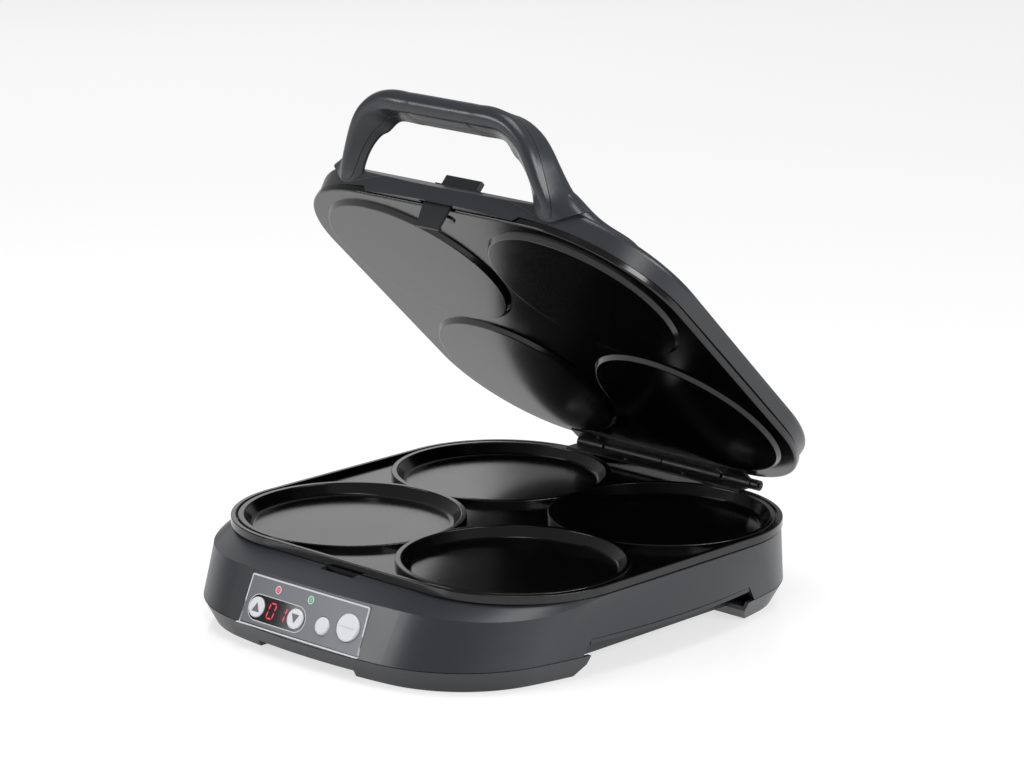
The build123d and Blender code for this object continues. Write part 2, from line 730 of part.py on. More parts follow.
with BuildPart() as bottom_cover:
    add(cover_form.part)
    with BuildSketch(at(SEAM_Z - SEAM_GAP)):
        seam_outline(WALL)
    with BuildSketch(at(FLOOR_Z + FLOOR_T)):
        seam_outline(COVER_TUCK * 0.6)
    loft(mode=Mode.SUBTRACT)
    with BuildSketch(across()):
        with BuildLine():
            Polyline(
                (-SIDE_CUT_FRONT - SIDE_SLOPE, 0),
                (-SIDE_CUT_FRONT, FLOOR_Z),
                (SIDE_CUT_REAR, FLOOR_Z),
                (SIDE_CUT_REAR + SIDE_SLOPE, 0),
                close=True,
            )
        make_face()
    extrude(amount=2 * PLATE_HALF, both=True, mode=Mode.SUBTRACT)
    with BuildSketch(Plane.XY):
        Rectangle(2 * ARCH_HALF, 4 * PLATE_HALF)
    extrude(amount=ARCH_Z, mode=Mode.SUBTRACT)
    with BuildSketch(*spots(FOOT_SPOTS, 0)):
        Circle(FOOT_R + PIN_PLAY)
    extrude(amount=FOOT_T, mode=Mode.SUBTRACT)
    with BuildSketch(*[at(0, x, CHANNEL_Y) for x in (-CHANNEL_MID, CHANNEL_MID)]):
        Rectangle(CHANNEL_W, CHANNEL_L)
    extrude(amount=SEAM_Z, mode=Mode.SUBTRACT)
    with BuildSketch(at(SIDE_CUT_Z - SEAM_GAP)):
        seam_outline(SEAM_GAP)
        with Locations((0, CHANNEL_Y)):
            Rectangle(4 * PLATE_HALF, CHANNEL_L, mode=Mode.INTERSECT)
        Rectangle(2 * (CHANNEL_X - FLOOR_T), 4 * PLATE_HALF, mode=Mode.SUBTRACT)
    extrude(amount=-SIDE_STRIP)
    with BuildSketch(*[at(FLOOR_Z, x, CHANNEL_Y) for x in (-CHANNEL_WALL, CHANNEL_WALL)]):
        Rectangle(FLOOR_T, CHANNEL_L)
    extrude(amount=SIDE_CUT_Z - SEAM_GAP - FLOOR_Z)
    with BuildSketch(*spots(COVER_SCREW_SPOTS, 0)):
        Circle(HOLE_R)
    extrude(amount=PLATE_TOP, mode=Mode.SUBTRACT)
    with BuildSketch(*spots(BOARD_STUDS, FLOOR_Z + FLOOR_T)):
        Circle(LUG_R)
    extrude(amount=POWER_BOARD_Z - FLOOR_Z - FLOOR_T)
    with BuildSketch(*spots(BOARD_STUDS, POWER_BOARD_Z)):
        Circle(HOLE_R)
    extrude(amount=-6, mode=Mode.SUBTRACT)

save(bottom_cover.part, "bottom_cover")

cover_screw_group = screws(
    [flipped(place) for place in spots(COVER_SCREW_SPOTS, SIDE_CUT_Z - SEAM_GAP - SIDE_STRIP)], 10
)
save(cover_screw_group, "bottom_cover_screws")

with BuildPart() as rubber_feet:
    with BuildSketch(*spots(FOOT_SPOTS, 0)):
        Circle(FOOT_R)
    extrude(amount=FOOT_T)
    chamfer(rubber_feet.edges().group_by(Axis.Z)[0], FOOT_T / 4)

save(rubber_feet.part, "rubber_feet")

# Control panel: a bowed fascia, a pill-shaped window round two of the buttons, and two lights
PILL_W = UP_X_SPAN + 2 * (ARROW_R + WINDOW_MARGIN)
PILL_H = 2 * (ARROW_R + WINDOW_MARGIN)


def sunk_form(depth):
    """Where the housing's outer form lies when moved straight into the panel."""
    return Location(-PANEL_OUT * depth)


with BuildPart() as control_fascia:
    with BuildSketch(panel()):
        with Locations((PANEL_X, PANEL_H / 2)):
            RectangleRounded(PANEL_W, PANEL_H, 1.0)
        with Locations(((UP_X + DOWN_X) / 2, ARROW_V)):
            SlotOverall(PILL_W + BUTTON_PLAY, PILL_H + BUTTON_PLAY, mode=Mode.SUBTRACT)
        with Locations((MORE_X, MORE_V)):
            Circle(MORE_R + BUTTON_PLAY, mode=Mode.SUBTRACT)
        with Locations((START_X, START_V)):
            Circle(START_R + BUTTON_PLAY, mode=Mode.SUBTRACT)
        with Locations((POWER_X, LIGHT_V), (READY_X, LIGHT_V)):
            Circle(LIGHT_R + PIN_PLAY, mode=Mode.SUBTRACT)
    extrude(amount=8, both=True)
    with Locations(sunk_form(-FASCIA_PROUD)):
        add(housing_form.part, mode=Mode.INTERSECT)
    with Locations(sunk_form(FASCIA_T - PIN_PLAY)):
        add(housing_form.part, mode=Mode.SUBTRACT)

save(control_fascia.part, "control_fascia")

with BuildPart() as display_window:
    with BuildSketch(panel()):
        with Locations(((UP_X + DOWN_X) / 2, ARROW_V)):
            SlotOverall(PILL_W, PILL_H)
        with Locations((UP_X, ARROW_V), (DOWN_X, ARROW_V)):
            Circle(ARROW_R + BUTTON_PLAY, mode=Mode.SUBTRACT)
    extrude(amount=8, both=True)
    with Locations(sunk_form(-FASCIA_PROUD / 2)):
        add(housing_form.part, mode=Mode.INTERSECT)
    with Locations(sunk_form(FASCIA_T - PIN_PLAY)):
        add(housing_form.part, mode=Mode.SUBTRACT)

save(display_window.part, "display_window")


def push_button(x, v, radius, round_r):
    """A cap through the fascia, its flange behind it and a stem towards its switch."""
    sunk = sag(x)
    flange_at = sag(abs(x) + radius + FLANGE_W) + FASCIA_T + BUTTON_PLAY
    with BuildPart() as button:
        with BuildSketch(panel(flange_at, x, v)):
            Circle(radius)
        extrude(amount=flange_at - sunk + BUTTON_PROUD)
        fillet(button.faces().sort_by(Axis(PANEL_FOOT, PANEL_OUT))[-1].edges(), round_r)
        with BuildSketch(panel(flange_at, x, v)):
            Circle(radius + FLANGE_W)
        extrude(amount=-FLANGE_T)
        with BuildSketch(panel(flange_at, x, v)):
            Circle(STEM_R)
        extrude(amount=flange_at - BOARD_DEPTH + SWITCH_H + SWITCH_GAP)
    return button.part


save(push_button(UP_X, ARROW_V, ARROW_R, 0.5), "up_button")
save(push_button(DOWN_X, ARROW_V, ARROW_R, 0.5), "down_button")
save(push_button(MORE_X, MORE_V, MORE_R, 1.2), "more_button")
save(push_button(START_X, START_V, START_R, 0.6), "start_button")


def panel_light(x):
    """A lens that stands on the control board and looks out through the fascia."""
    with BuildPart() as light:
        with BuildSketch(panel(BOARD_DEPTH, x, LIGHT_V)):
            Circle(LIGHT_R)
        extrude(amount=BOARD_DEPTH - sag(x) + 2 * FASCIA_PROUD)
        fillet(light.faces().sort_by(Axis(PANEL_FOOT, PANEL_OUT))[-1].edges(), 0.5)
    return light.part


save(panel_light(POWER_X), "power_light")
save(panel_light(READY_X), "ready_light")

with BuildPart() as control_board:
    with BuildSketch(panel(BOARD_DEPTH, 0, BOARD_V)):
        Rectangle(BOARD_W, BOARD_H)
    extrude(amount=-BOARD_T)
    with BuildSketch(*BOARD_POSTS):
        Circle(HOLE_R)
    extrude(amount=-BOARD_T, mode=Mode.SUBTRACT)

save(control_board.part, "control_board")

board_screw_group = screws(
    [flipped(panel(BOARD_DEPTH + BOARD_T, x, BOARD_V + v)) for x, v in BOARD_POST_SPOTS],
    5,
    head_r=2.6,
)
save(board_screw_group, "control_board_screws")

with BuildPart() as tact_switches:
    for x, v in ((UP_X, ARROW_V), (DOWN_X, ARROW_V), (MORE_X, MORE_V), (START_X, START_V)):
        with BuildSketch(panel(BOARD_DEPTH, x, v)):
            Rectangle(SWITCH_W, SWITCH_W)
        extrude(amount=SWITCH_H)

save(tact_switches.part, "tact_switches")

with BuildPart() as display_module:
    with BuildSketch(panel(BOARD_DEPTH, (UP_X + DOWN_X) / 2, ARROW_V)):
        Rectangle(DIGITS_W, DIGITS_H)
    extrude(amount=BOARD_DEPTH - sag(UP_X) - FASCIA_T - BUTTON_PLAY)

save(display_module.part, "display_module")

# Hinge: four knuckles on one pin, two on each leaf
def hinge_leaf(owner, turn, leaf_z, screw_xs):
    """A leaf that lies on its plate's rear rim, with its own knuckles."""
    with BuildPart() as leaf:
        with BuildSketch(turn(at(leaf_z, 0, LEAF_MID))):
            Rectangle(2 * HINGE_END, LEAF_STRIP)
        extrude(amount=LEAF_T)
        for start, length, side in KNUCKLES:
            if side == owner:
                with BuildSketch(turn(at(leaf_z, start + length / 2, LEAF_TAB))):
                    Rectangle(length, 2 * KNUCKLE_R)
                extrude(amount=LEAF_T)
                with BuildSketch(turn(across(start))):
                    with Locations((HINGE_Y, HINGE_Z)):
                        Circle(KNUCKLE_R)
                extrude(amount=length)
        with BuildSketch(turn(across(-HINGE_END))):
            with Locations((HINGE_Y, HINGE_Z)):
                Circle(HINGE_PIN_R + PIN_PLAY)
        extrude(amount=2 * HINGE_END, mode=Mode.SUBTRACT)
        with BuildSketch(*[turn(at(leaf_z, x, LEAF_SCREW_Y)) for x in screw_xs]):
            Circle(LEAF_SCREW_R + SCREW_PLAY)
        extrude(amount=LEAF_T, mode=Mode.SUBTRACT)
    return leaf.part


def unturned(plane):
    """The plane as it is, for what stays with the base."""
    return plane


save(hinge_leaf("base", unturned, PLATE_TOP, BASE_LEAF_SCREWS), "base_hinge_leaf")
save(hinge_leaf("lid", lid, HIGH_UPPER - LEAF_T, LID_LEAF_SCREWS), "lid_hinge_leaf")

base_leaf_screw_group = screws(
    [at(PLATE_TOP + LEAF_T, x, LEAF_SCREW_Y) for x in BASE_LEAF_SCREWS],
    LEAF_SCREW_L,
    LEAF_SCREW_HEAD_R,
    LEAF_SCREW_HEAD_H,
    LEAF_SCREW_R,
)
save(base_leaf_screw_group, "base_hinge_screws")

lid_leaf_screw_group = screws(
    [flipped(lid(at(HIGH_UPPER - LEAF_T, x, LEAF_SCREW_Y))) for x in LID_LEAF_SCREWS],
    LEAF_SCREW_L,
    LEAF_SCREW_HEAD_R,
    LEAF_SCREW_HEAD_H,
    LEAF_SCREW_R,
)
save(lid_leaf_screw_group, "lid_hinge_screws")

with BuildPart() as hinge_pin:
    with BuildSketch(across(-HINGE_END)):
        with Locations((HINGE_Y, HINGE_Z)):
            Circle(HINGE_PIN_R)
    extrude(amount=2 * HINGE_END + KNUCKLE_GAP + RETAINER_W)

save(hinge_pin.part, "hinge_pin")

with BuildPart() as hinge_retainer:
    with BuildSketch(across(HINGE_END + KNUCKLE_GAP / 2)):
        with Locations((HINGE_Y, HINGE_Z)):
            Circle(KNUCKLE_R)
            Circle(HINGE_PIN_R, mode=Mode.SUBTRACT)
    extrude(amount=RETAINER_W)

save(hinge_retainer.part, "hinge_retainer")

# Upper plate: four raised rounds on a flat face, turned with the lid
with BuildPart() as boss:
    with BuildSketch(Plane.XZ):
        with BuildLine():
            Polyline(
                (0, 1),
                (BOSS_BASE_R, 1),
                (BOSS_BASE_R, 0),
                (BOSS_R + BOSS_ROUND, -BOSS_H),
                (0, -BOSS_H),
                close=True,
            )
        make_face()
    revolve(axis=Axis.Z)
    fillet(boss.edges().group_by(Axis.Z)[0], BOSS_ROUND)

UPPER_POST_SPOTS = [(0, UPPER_SCREW_AT), (-UPPER_SCREW_AT, 0), (UPPER_SCREW_AT, 0)]

with BuildPart() as upper_plate_closed:
    with BuildSketch(at(HIGH_UPPER)):
        plate_square(0)
    extrude(amount=UPPER_WALL)
    fillet(upper_plate_closed.edges().group_by(Axis.Z)[0], 2 * LIP_ROUND)
    with BuildSketch(at(UPPER_BACK)):
        plate_square(RIM_W)
    extrude(amount=UPPER_WALL, mode=Mode.SUBTRACT)
    with BuildSketch(at(HIGH_UPPER_SHOULDER)):
        plate_square(SHOULDER)
        plate_square(SHOULDER + SKIRT_T, Mode.SUBTRACT)
    extrude(amount=UPPER_SKIRT)
    with Locations(*spots(WELL_SPOTS, HIGH_UPPER)):
        add(boss.part)
    with BuildSketch(at(UPPER_BACK)):
        Circle(STUD_R)
    extrude(amount=UPPER_SHIELD_RISE - CAST_T)
    with BuildSketch(at(HIGH_UPPER + UPPER_SHIELD_RISE)):
        Circle(HOLE_R)
    extrude(amount=-6, mode=Mode.SUBTRACT)
    with BuildSketch(*spots(UPPER_POST_SPOTS, UPPER_BACK)):
        Circle(LUG_R)
    extrude(amount=HIGH_SHELL - UPPER_BACK)
    with BuildSketch(at(HIGH_UPPER, UPPER_SCREW_X, -UPPER_SCREW_AT)):
        Circle(HOLE_R)
    extrude(amount=CAST_T, mode=Mode.SUBTRACT)
    with BuildSketch(*spots([(x, LEAF_SCREW_Y) for x in LID_LEAF_SCREWS], HIGH_UPPER)):
        Circle(LEAF_SCREW_R + SCREW_PLAY)
    extrude(amount=LEAF_SCREW_L, mode=Mode.SUBTRACT)

save(opened(upper_plate_closed.part), "upper_plate")

upper_screw_place = flipped(lid(at(HIGH_UPPER, UPPER_SCREW_X, -UPPER_SCREW_AT)))
save(screws([upper_screw_place], CAST_T + 2, HEAD_R, HEAD_H / 2), "upper_plate_screw")

# Lid shell, drawn closed: a shallow cover whose top falls to the back, with a slope at the front
TOP_FACE = leaning(0, LID_CREASE, -LID_TOP_SLOPE)
FRONT_SLOPE = leaning(-PLATE_HALF - SLOPE_FRONT, PLATE_TOP + SLOPE_LIFT + LID_GAP, SLOPE_ANGLE)
JOINT = Plane(
    origin=(0, PAN_Y - PLATE_HALF - SLOPE_FRONT, HIGH_UPPER + HANDLE_SPLIT_UP),
    x_dir=(1, 0, 0),
    z_dir=(0, cos(radians(HANDLE_TILT)), sin(radians(HANDLE_TILT))),
)


def lid_block(inset, bottom, top):
    """The lid's flared side walls between two heights."""
    flare = LID_FLARE / LID_SIDE_H
    with BuildPart() as block:
        with BuildSketch(at(bottom)):
            lid_outline(inset - flare * (bottom - HIGH_SHELL))
        with BuildSketch(at(top)):
            lid_outline(inset - flare * (top - HIGH_SHELL))
        loft()
    return block.part


def dome(face, foot, crown):
    """The low raised middle of the lid's top."""
    with BuildPart() as raised:
        with BuildSketch(face.offset(-1)):
            lid_outline(foot - 1)
        with BuildSketch(face.offset(DOME_H)):
            lid_outline(crown)
        loft()
    return raised.part


with BuildPart() as lid_form:
    add(lid_block(0, BAND_Z, LID_CREASE + 8))
    with BuildSketch(across()):
        with BuildLine():
            Polyline(
                (-EDGE_RISE_START, BAND_Z - 1),
                (-EDGE_RISE_START, BAND_Z),
                (-EDGE_RISE_END, HIGH_SHELL),
                (2 * PLATE_HALF, HIGH_SHELL),
                (2 * PLATE_HALF, BAND_Z - 1),
                close=True,
            )
        make_face()
    extrude(amount=2 * PLATE_HALF, both=True, mode=Mode.SUBTRACT)
    with BuildSketch(across()):
        with BuildLine():
            ThreePointArc(
                (-LID_TOP_REACH, LID_CREASE + LID_FRONT_RISE),
                (0, LID_CREASE + LID_MID_RISE),
                (LID_TOP_REACH, LID_CREASE + LID_REAR_RISE),
            )
            Polyline(
                (LID_TOP_REACH, LID_CREASE + LID_REAR_RISE),
                (LID_TOP_REACH, LID_CREASE + 10),
                (-LID_TOP_REACH, LID_CREASE + 10),
                (-LID_TOP_REACH, LID_CREASE + LID_FRONT_RISE),
            )
        make_face()
    extrude(amount=2 * PLATE_HALF, both=True, mode=Mode.SUBTRACT)
    fillet(lid_form.faces().sort_by(Axis.Z)[-1].edges(), LID_TOP_ROUND)
    split(bisect_by=FRONT_SLOPE, keep=Keep.BOTTOM)
    add(dome(TOP_FACE, DOME_FOOT, DOME_TOP))

FRAME_SCREWS = [
    Plane(
        origin=JOINT.offset(WALL).origin + JOINT.y_dir * FRAME_SCREW_DOWN + Vector(x, 0, 0),
        x_dir=JOINT.x_dir,
        z_dir=JOINT.z_dir,
    )
    for x in FRAME_SCREW_XS
]

with BuildPart() as arm_room:
    with BuildSketch(across()):
        with BuildLine():
            Polyline(
                (FLAP_Y - ARM_ROOM, HIGH_UPPER - 4),
                (FLAP_Y - ARM_ROOM, ROOF_Z - ARM_ROOM * ROOF_RISE),
                (PIVOT_Y - 3, ROOF_Z + (PIVOT_Y - 3 - FLAP_Y) * ROOF_RISE),
                (PIVOT_Y + HUB_R + 0.4, ROOF_Z + (PIVOT_Y - 3 - FLAP_Y) * ROOF_RISE),
                (PIVOT_Y + HUB_R + 0.4, HIGH_SHELL + SHELF_T),
                (-PLATE_HALF - 2 * FIT, HIGH_SHELL + SHELF_T),
                (-PLATE_HALF - 2 * FIT, HIGH_UPPER - 4),
                close=True,
            )
        make_face()
    extrude(amount=HUB_W / 2 + 0.8, both=True)

with BuildPart() as lid_room:
    add(lid_block(WALL, HIGH_SHELL - 1, LID_CREASE + 8))
    split(bisect_by=TOP_FACE.offset(-LID_ROOF_T), keep=Keep.BOTTOM)
    split(bisect_by=FRONT_SLOPE.offset(-WALL), keep=Keep.BOTTOM)
    split(bisect_by=JOINT.offset(WALL), keep=Keep.TOP)
    add(dome(TOP_FACE.offset(-LID_ROOF_T), DOME_FOOT + WALL, DOME_TOP + WALL))
    with BuildSketch(*spots(UPPER_POST_SPOTS, HIGH_SHELL - 1)):
        Circle(LUG_R)
    extrude(amount=LID_SIDE_H + DOME_H, mode=Mode.SUBTRACT)
    with BuildSketch(*[across(x) for x in (-CHEEK_X, CHEEK_X)]):
        with Locations((PIVOT_Y, PIVOT_Z + 2)):
            Rectangle(CHEEK_D, 2 * (PIVOT_Z + 2 - HIGH_SHELL + 1))
    extrude(amount=CHEEK_T / 2, both=True, mode=Mode.SUBTRACT)

# Loop handle: a round bead in front, a liner inside it, and a crest behind that flares at the feet
HANDLE_W = Vector(0, -sin(radians(HANDLE_TILT)), cos(radians(HANDLE_TILT)))
HANDLE_N = Vector(0, cos(radians(HANDLE_TILT)), sin(radians(HANDLE_TILT)))
HANDLE_FOOT = Vector(0, PAN_Y - PLATE_HALF - HANDLE_AHEAD, HIGH_UPPER + HANDLE_UP)
BEND_ANGLE = 90 - HANDLE_SPLAY
LEG = HANDLE_LEG
BEND = radians(BEND_ANGLE) * HANDLE_BEND_R


def handle_section(fraction, back_from_end=0.0):
    """Cross-section of the handle from the end of its bar, 0, to its foot, 1."""
    run = fraction * (BEND + LEG)
    turn = min(run / HANDLE_BEND_R, radians(BEND_ANGLE))
    past = max(run - BEND, 0)
    x = HANDLE_BAR_HALF + HANDLE_BEND_R * sin(turn) + past * cos(turn)
    w = HANDLE_H - HANDLE_BEND_R * (1 - cos(turn)) - past * sin(turn)
    along = Vector(cos(turn), 0, 0) - HANDLE_W * sin(turn)
    settle = BEAD_SETTLE * fraction**4
    place = Plane(
        origin=HANDLE_FOOT + Vector(x - back_from_end, 0, 0) + HANDLE_W * w + HANDLE_N * settle,
        x_dir=HANDLE_N,
        z_dir=along,
    )
    liner_back = LINER_BACK - LINER_DRAW * fraction - LINER_R - settle
    liner_in = LINER_IN + LINER_SWAY * sin(pi * fraction) * sin(2 * pi * fraction) - LINER_R
    crest_back = CREST_BACK + CREST_DEEPEN * fraction - settle
    crest_out = CREST_RISE * fraction + FOOT_FLARE * fraction**8 - CREST_IN
    with BuildSketch(place) as section:
        Circle(BEAD_R - BEAD_TAPER * fraction)
        with Locations((liner_back, -liner_in)):
            Circle(LINER_R)
        with Locations((crest_back, crest_out)):
            Circle(CREST_R + CREST_GROW * fraction)
        make_hull()
    return section.sketch


with BuildPart() as handle_form:
    extrude(handle_section(0, BAR_LEAD), amount=HANDLE_BAR_HALF - BAR_LEAD, dir=(-1, 0, 0))
    bar_end = [handle_section(0, BAR_LEAD), handle_section(0, BAR_LEAD / 2)]
    loft(bar_end + [handle_section(step / HANDLE_STEPS) for step in range(HANDLE_STEPS + 1)])
    mirror(about=Plane.YZ)


def shoulder_section(along, out, ridge_z, radius):
    """Cross-section of the shoulder that runs from a handle foot round the lid's front corner."""
    spot = Vector(along + out, along - out, 0) * sqrt(0.5) + Vector(0, PAN_Y, 0)
    with BuildSketch(Plane(origin=spot, x_dir=(1, -1, 0), z_dir=(-1, -1, 0))) as section:
        with Locations((0, ridge_z)):
            Circle(radius)
        with Locations((-2, HIGH_SHELL + 2)):
            Circle(2)
        make_hull()
    return section.sketch


with BuildPart() as shoulder:
    loft(
        [
            shoulder_section(-34, SHOULDER_E + 3.5, SHOULDER_Z + 4, 6),
            shoulder_section(-24, SHOULDER_E + 3.0, SHOULDER_Z + 1.5, 6),
            shoulder_section(-11, SHOULDER_E + 0.5, SHOULDER_Z, 5),
            shoulder_section(0, SHOULDER_E, SHOULDER_Z, 4.5),
            shoulder_section(16, SHOULDER_E, SHOULDER_Z - 4.5, 4),
        ]
    )
    mirror(about=Plane.YZ)

with BuildPart() as lid_shell_closed:
    add(handle_form.part)
    add(shoulder.part)
    with BuildSketch(at(BAND_Z)):
        Rectangle(8 * PLATE_HALF, 8 * PLATE_HALF)
    extrude(amount=-PLATE_TOP, mode=Mode.SUBTRACT)
    add(lid_form.part)
    with BuildSketch(at(BAND_Z - 1)):
        plate_square(-2 * FIT)
    extrude(amount=HIGH_SHELL - BAND_Z + 1, mode=Mode.SUBTRACT)
    split(bisect_by=JOINT, keep=Keep.TOP)
    add(lid_room.part, mode=Mode.SUBTRACT)
    with BuildSketch(at(HIGH_SHELL, 0, SHELF_MID)):
        Rectangle(2 * CHEEK_X + CHEEK_T, SHELF_D)
    extrude(amount=SHELF_T)
    with BuildSketch(at(HIGH_SHELL - 1)):
        plate_square(OPENING_INSET)
        with Locations((0, SHELF_MID)):
            Rectangle(2 * CHEEK_X + CHEEK_T, SHELF_D, mode=Mode.SUBTRACT)
    extrude(amount=1 + UPPER_SKIRT, mode=Mode.SUBTRACT)
    # Room for the latch's arm, its stem and its pin, and the bed of its bezel
    add(arm_room.part, mode=Mode.SUBTRACT)
    with BuildSketch(at(PIVOT_Z, 0, PIVOT_Y)):
        Rectangle(STEM_W + 1.6, STEM_T + 2.8)
    extrude(amount=PIVOT_Z, mode=Mode.SUBTRACT)
    with BuildSketch(at(PLATE_TOP + BEZEL_RISE, 0, BEZEL_MID)):
        Rectangle(BEZEL_W + FIT, BEZEL_DEPTH + FIT)
    extrude(amount=PIVOT_Z, mode=Mode.SUBTRACT)
    with BuildSketch(across(-LATCH_PIN_L / 2)):
        with Locations((PIVOT_Y, PIVOT_Z)):
            Circle(LATCH_PIN_R + PIN_PLAY)
    extrude(amount=LATCH_PIN_L, mode=Mode.SUBTRACT)
    # Screw holes
    with BuildSketch(at(HIGH_SHELL, UPPER_SCREW_X, -UPPER_SCREW_AT)):
        Circle(HOLE_R)
    extrude(amount=SHELF_T, mode=Mode.SUBTRACT)
    with BuildSketch(*FRAME_SCREWS):
        Circle(LEAF_SCREW_R + SCREW_PLAY)
    extrude(amount=-WALL, mode=Mode.SUBTRACT)

save(opened(lid_shell_closed.part), "lid_shell")

# Handle frame: the front of the loop with the band that runs across below it
with BuildPart() as handle_frame_closed:
    add(lid_block(0, BAND_Z, LID_CREASE))
    with BuildSketch(at(BAND_Z)):
        Rectangle(2 * BAND_HALF, 4 * PLATE_HALF)
    extrude(amount=LID_CREASE, mode=Mode.INTERSECT)
    split(bisect_by=FRONT_SLOPE, keep=Keep.BOTTOM)
    add(handle_form.part)
    split(bisect_by=JOINT.offset(-HANDLE_JOINT), keep=Keep.BOTTOM)
    with BuildSketch(at(BAND_Z)):
        Rectangle(8 * PLATE_HALF, 8 * PLATE_HALF)
    extrude(amount=-PLATE_TOP, mode=Mode.SUBTRACT)
    with BuildSketch(at(BAND_Z - 1)):
        plate_square(-2 * FIT)
    extrude(amount=BAND_DROP + 1, mode=Mode.SUBTRACT)
    with BuildSketch(at(BAND_Z - 1)):
        plate_square(OPENING_INSET)
    extrude(amount=BAND_DROP + 1 + UPPER_SKIRT, mode=Mode.SUBTRACT)
    add(arm_room.part, mode=Mode.SUBTRACT)
    with BuildSketch(*FRAME_SCREWS):
        Circle(LEAF_SCREW_R + SCREW_PLAY)
    extrude(amount=-WALL - FRAME_SCREW_GRIP, mode=Mode.SUBTRACT)

save(opened(handle_frame_closed.part), "handle_frame")
frame_screw_group = screws(
    FRAME_SCREWS,
    WALL + FRAME_SCREW_GRIP - PIN_PLAY,
    LEAF_SCREW_HEAD_R,
    LEAF_SCREW_HEAD_H,
    LEAF_SCREW_R,
)
save(opened(frame_screw_group), "handle_frame_screws")

# Latch: a pin through two cheeks, a lever with its hook in front, a thumb cap and a bezel
with BuildPart() as latch_lever:
    with BuildSketch(across(FLAP_X - FLAP_W / 2)):
        with BuildLine():
            Polyline(
                (FLAP_Y, HOOK_Z),
                (FLAP_Y, ARM_Z + 1.6),
                (PIVOT_Y - 1.5, PIVOT_Z + HUB_R - 0.4),
                (PIVOT_Y, PIVOT_Z - HUB_R + 0.4),
                (FLAP_Y + FLAP_T, ARM_Z),
                (FLAP_Y + FLAP_T, HOOK_Z + BARB_H + 0.5),
                (FLAP_Y + FLAP_T + BARB, HOOK_Z + BARB_H),
                (FLAP_Y + FLAP_T, HOOK_Z),
                close=True,
            )
        make_face()
    extrude(amount=FLAP_W)
    with BuildSketch(facing(FLAP_Y)):
        with BuildLine():
            Polyline(
                (FLAP_X - FLAP_W / 2, HIGH_UPPER),
                (FLAP_X - FLAP_W / 2 + FLAP_TAPER, HOOK_Z - 1),
                (FLAP_X - FLAP_W / 2 - 1, HOOK_Z - 1),
                close=True,
            )
        make_face()
    extrude(amount=-FLAP_T - BARB - 1, mode=Mode.SUBTRACT)
    with BuildSketch(across(-HUB_W / 2)):
        with Locations((PIVOT_Y, PIVOT_Z)):
            Circle(HUB_R)
    extrude(amount=HUB_W)
    with BuildSketch(at(PIVOT_Z, 0, PIVOT_Y)):
        Rectangle(STEM_W, STEM_T)
    extrude(amount=STEM_TOP - PIVOT_Z)
    with BuildSketch(across(-HUB_W / 2)):
        with Locations((PIVOT_Y, PIVOT_Z)):
            Circle(LATCH_PIN_R + PIN_PLAY)
    extrude(amount=HUB_W, mode=Mode.SUBTRACT)

save(opened(latch_lever.part), "latch_lever")

with BuildPart() as latch_button:
    with BuildSketch(across(-THUMB_W / 2)):
        with BuildLine():
            Polyline(
                (-PLATE_HALF + THUMB_FRONT, THUMB_Z),
                (-PLATE_HALF + THUMB_FRONT, THUMB_Z + THUMB_H),
                (-PLATE_HALF + THUMB_FRONT + THUMB_DEPTH, THUMB_Z + THUMB_H),
                (-PLATE_HALF + THUMB_FRONT + THUMB_DEPTH, THUMB_Z),
                close=True,
            )
        make_face()
    extrude(amount=THUMB_W)
    fillet(latch_button.edges().filter_by(Axis.X).group_by(Axis.Z)[-1], 0.8)
    with BuildSketch(at(THUMB_Z, 0, PIVOT_Y)):
        Rectangle(STEM_W + 2 * PIN_PLAY, STEM_T + 2 * PIN_PLAY)
    extrude(amount=STEM_TOP - THUMB_Z, both=True, mode=Mode.SUBTRACT)

save(opened(latch_button.part), "latch_button")

with BuildPart() as latch_bezel:
    with BuildSketch(at(PLATE_TOP + BEZEL_RISE, 0, BEZEL_MID)):
        RectangleRounded(BEZEL_W, BEZEL_DEPTH, 1.5)
    extrude(amount=BEZEL_T)
    with BuildSketch(at(PLATE_TOP + BEZEL_RISE, 0, PIVOT_Y)):
        Rectangle(STEM_W + 1.6, STEM_T + 2.8)
    extrude(amount=BEZEL_T, mode=Mode.SUBTRACT)

save(opened(latch_bezel.part), "latch_bezel")

with BuildPart() as latch_pin:
    with BuildSketch(across(-LATCH_PIN_L / 2)):
        with Locations((PIVOT_Y, PIVOT_Z)):
            Circle(LATCH_PIN_R)
    extrude(amount=LATCH_PIN_L)

save(opened(latch_pin.part), "latch_pin")

with BuildPart() as latch_spring:
    with BuildSketch(across(HUB_W / 2 + 0.3)):
        with Locations((PIVOT_Y, PIVOT_Z)):
            Circle(LATCH_PIN_R + 1.0)
            Circle(LATCH_PIN_R + PIN_PLAY, mode=Mode.SUBTRACT)
    extrude(amount=CHEEK_X - CHEEK_T / 2 - HUB_W / 2 - 0.3)

save(opened(latch_spring.part), "latch_spring")

# Heating elements: a bent tube under each plate, with its two terminals at one end of the plate


def heater(z, back):
    """The tube of a heating element, with its tails at the front, -1, or at the back, 1."""
    points = [
        (-TAIL_X, back * TAIL_Y),
        (-TAIL_X, back * LOOP_HALF),
        (-LOOP_HALF, back * LOOP_HALF),
        (-LOOP_HALF, -back * LOOP_HALF),
        (LOOP_HALF, -back * LOOP_HALF),
        (LOOP_HALF, back * LOOP_HALF),
        (TAIL_X, back * LOOP_HALF),
        (TAIL_X, back * TAIL_Y),
    ]
    with BuildPart() as tube:
        with BuildLine(at(z)) as path:
            FilletPolyline(*points, radius=LOOP_R)
        with BuildSketch(Plane(origin=path.line @ 0, z_dir=path.line % 0)):
            Circle(TUBE_R)
        sweep(path=path.line)
    return tube.part


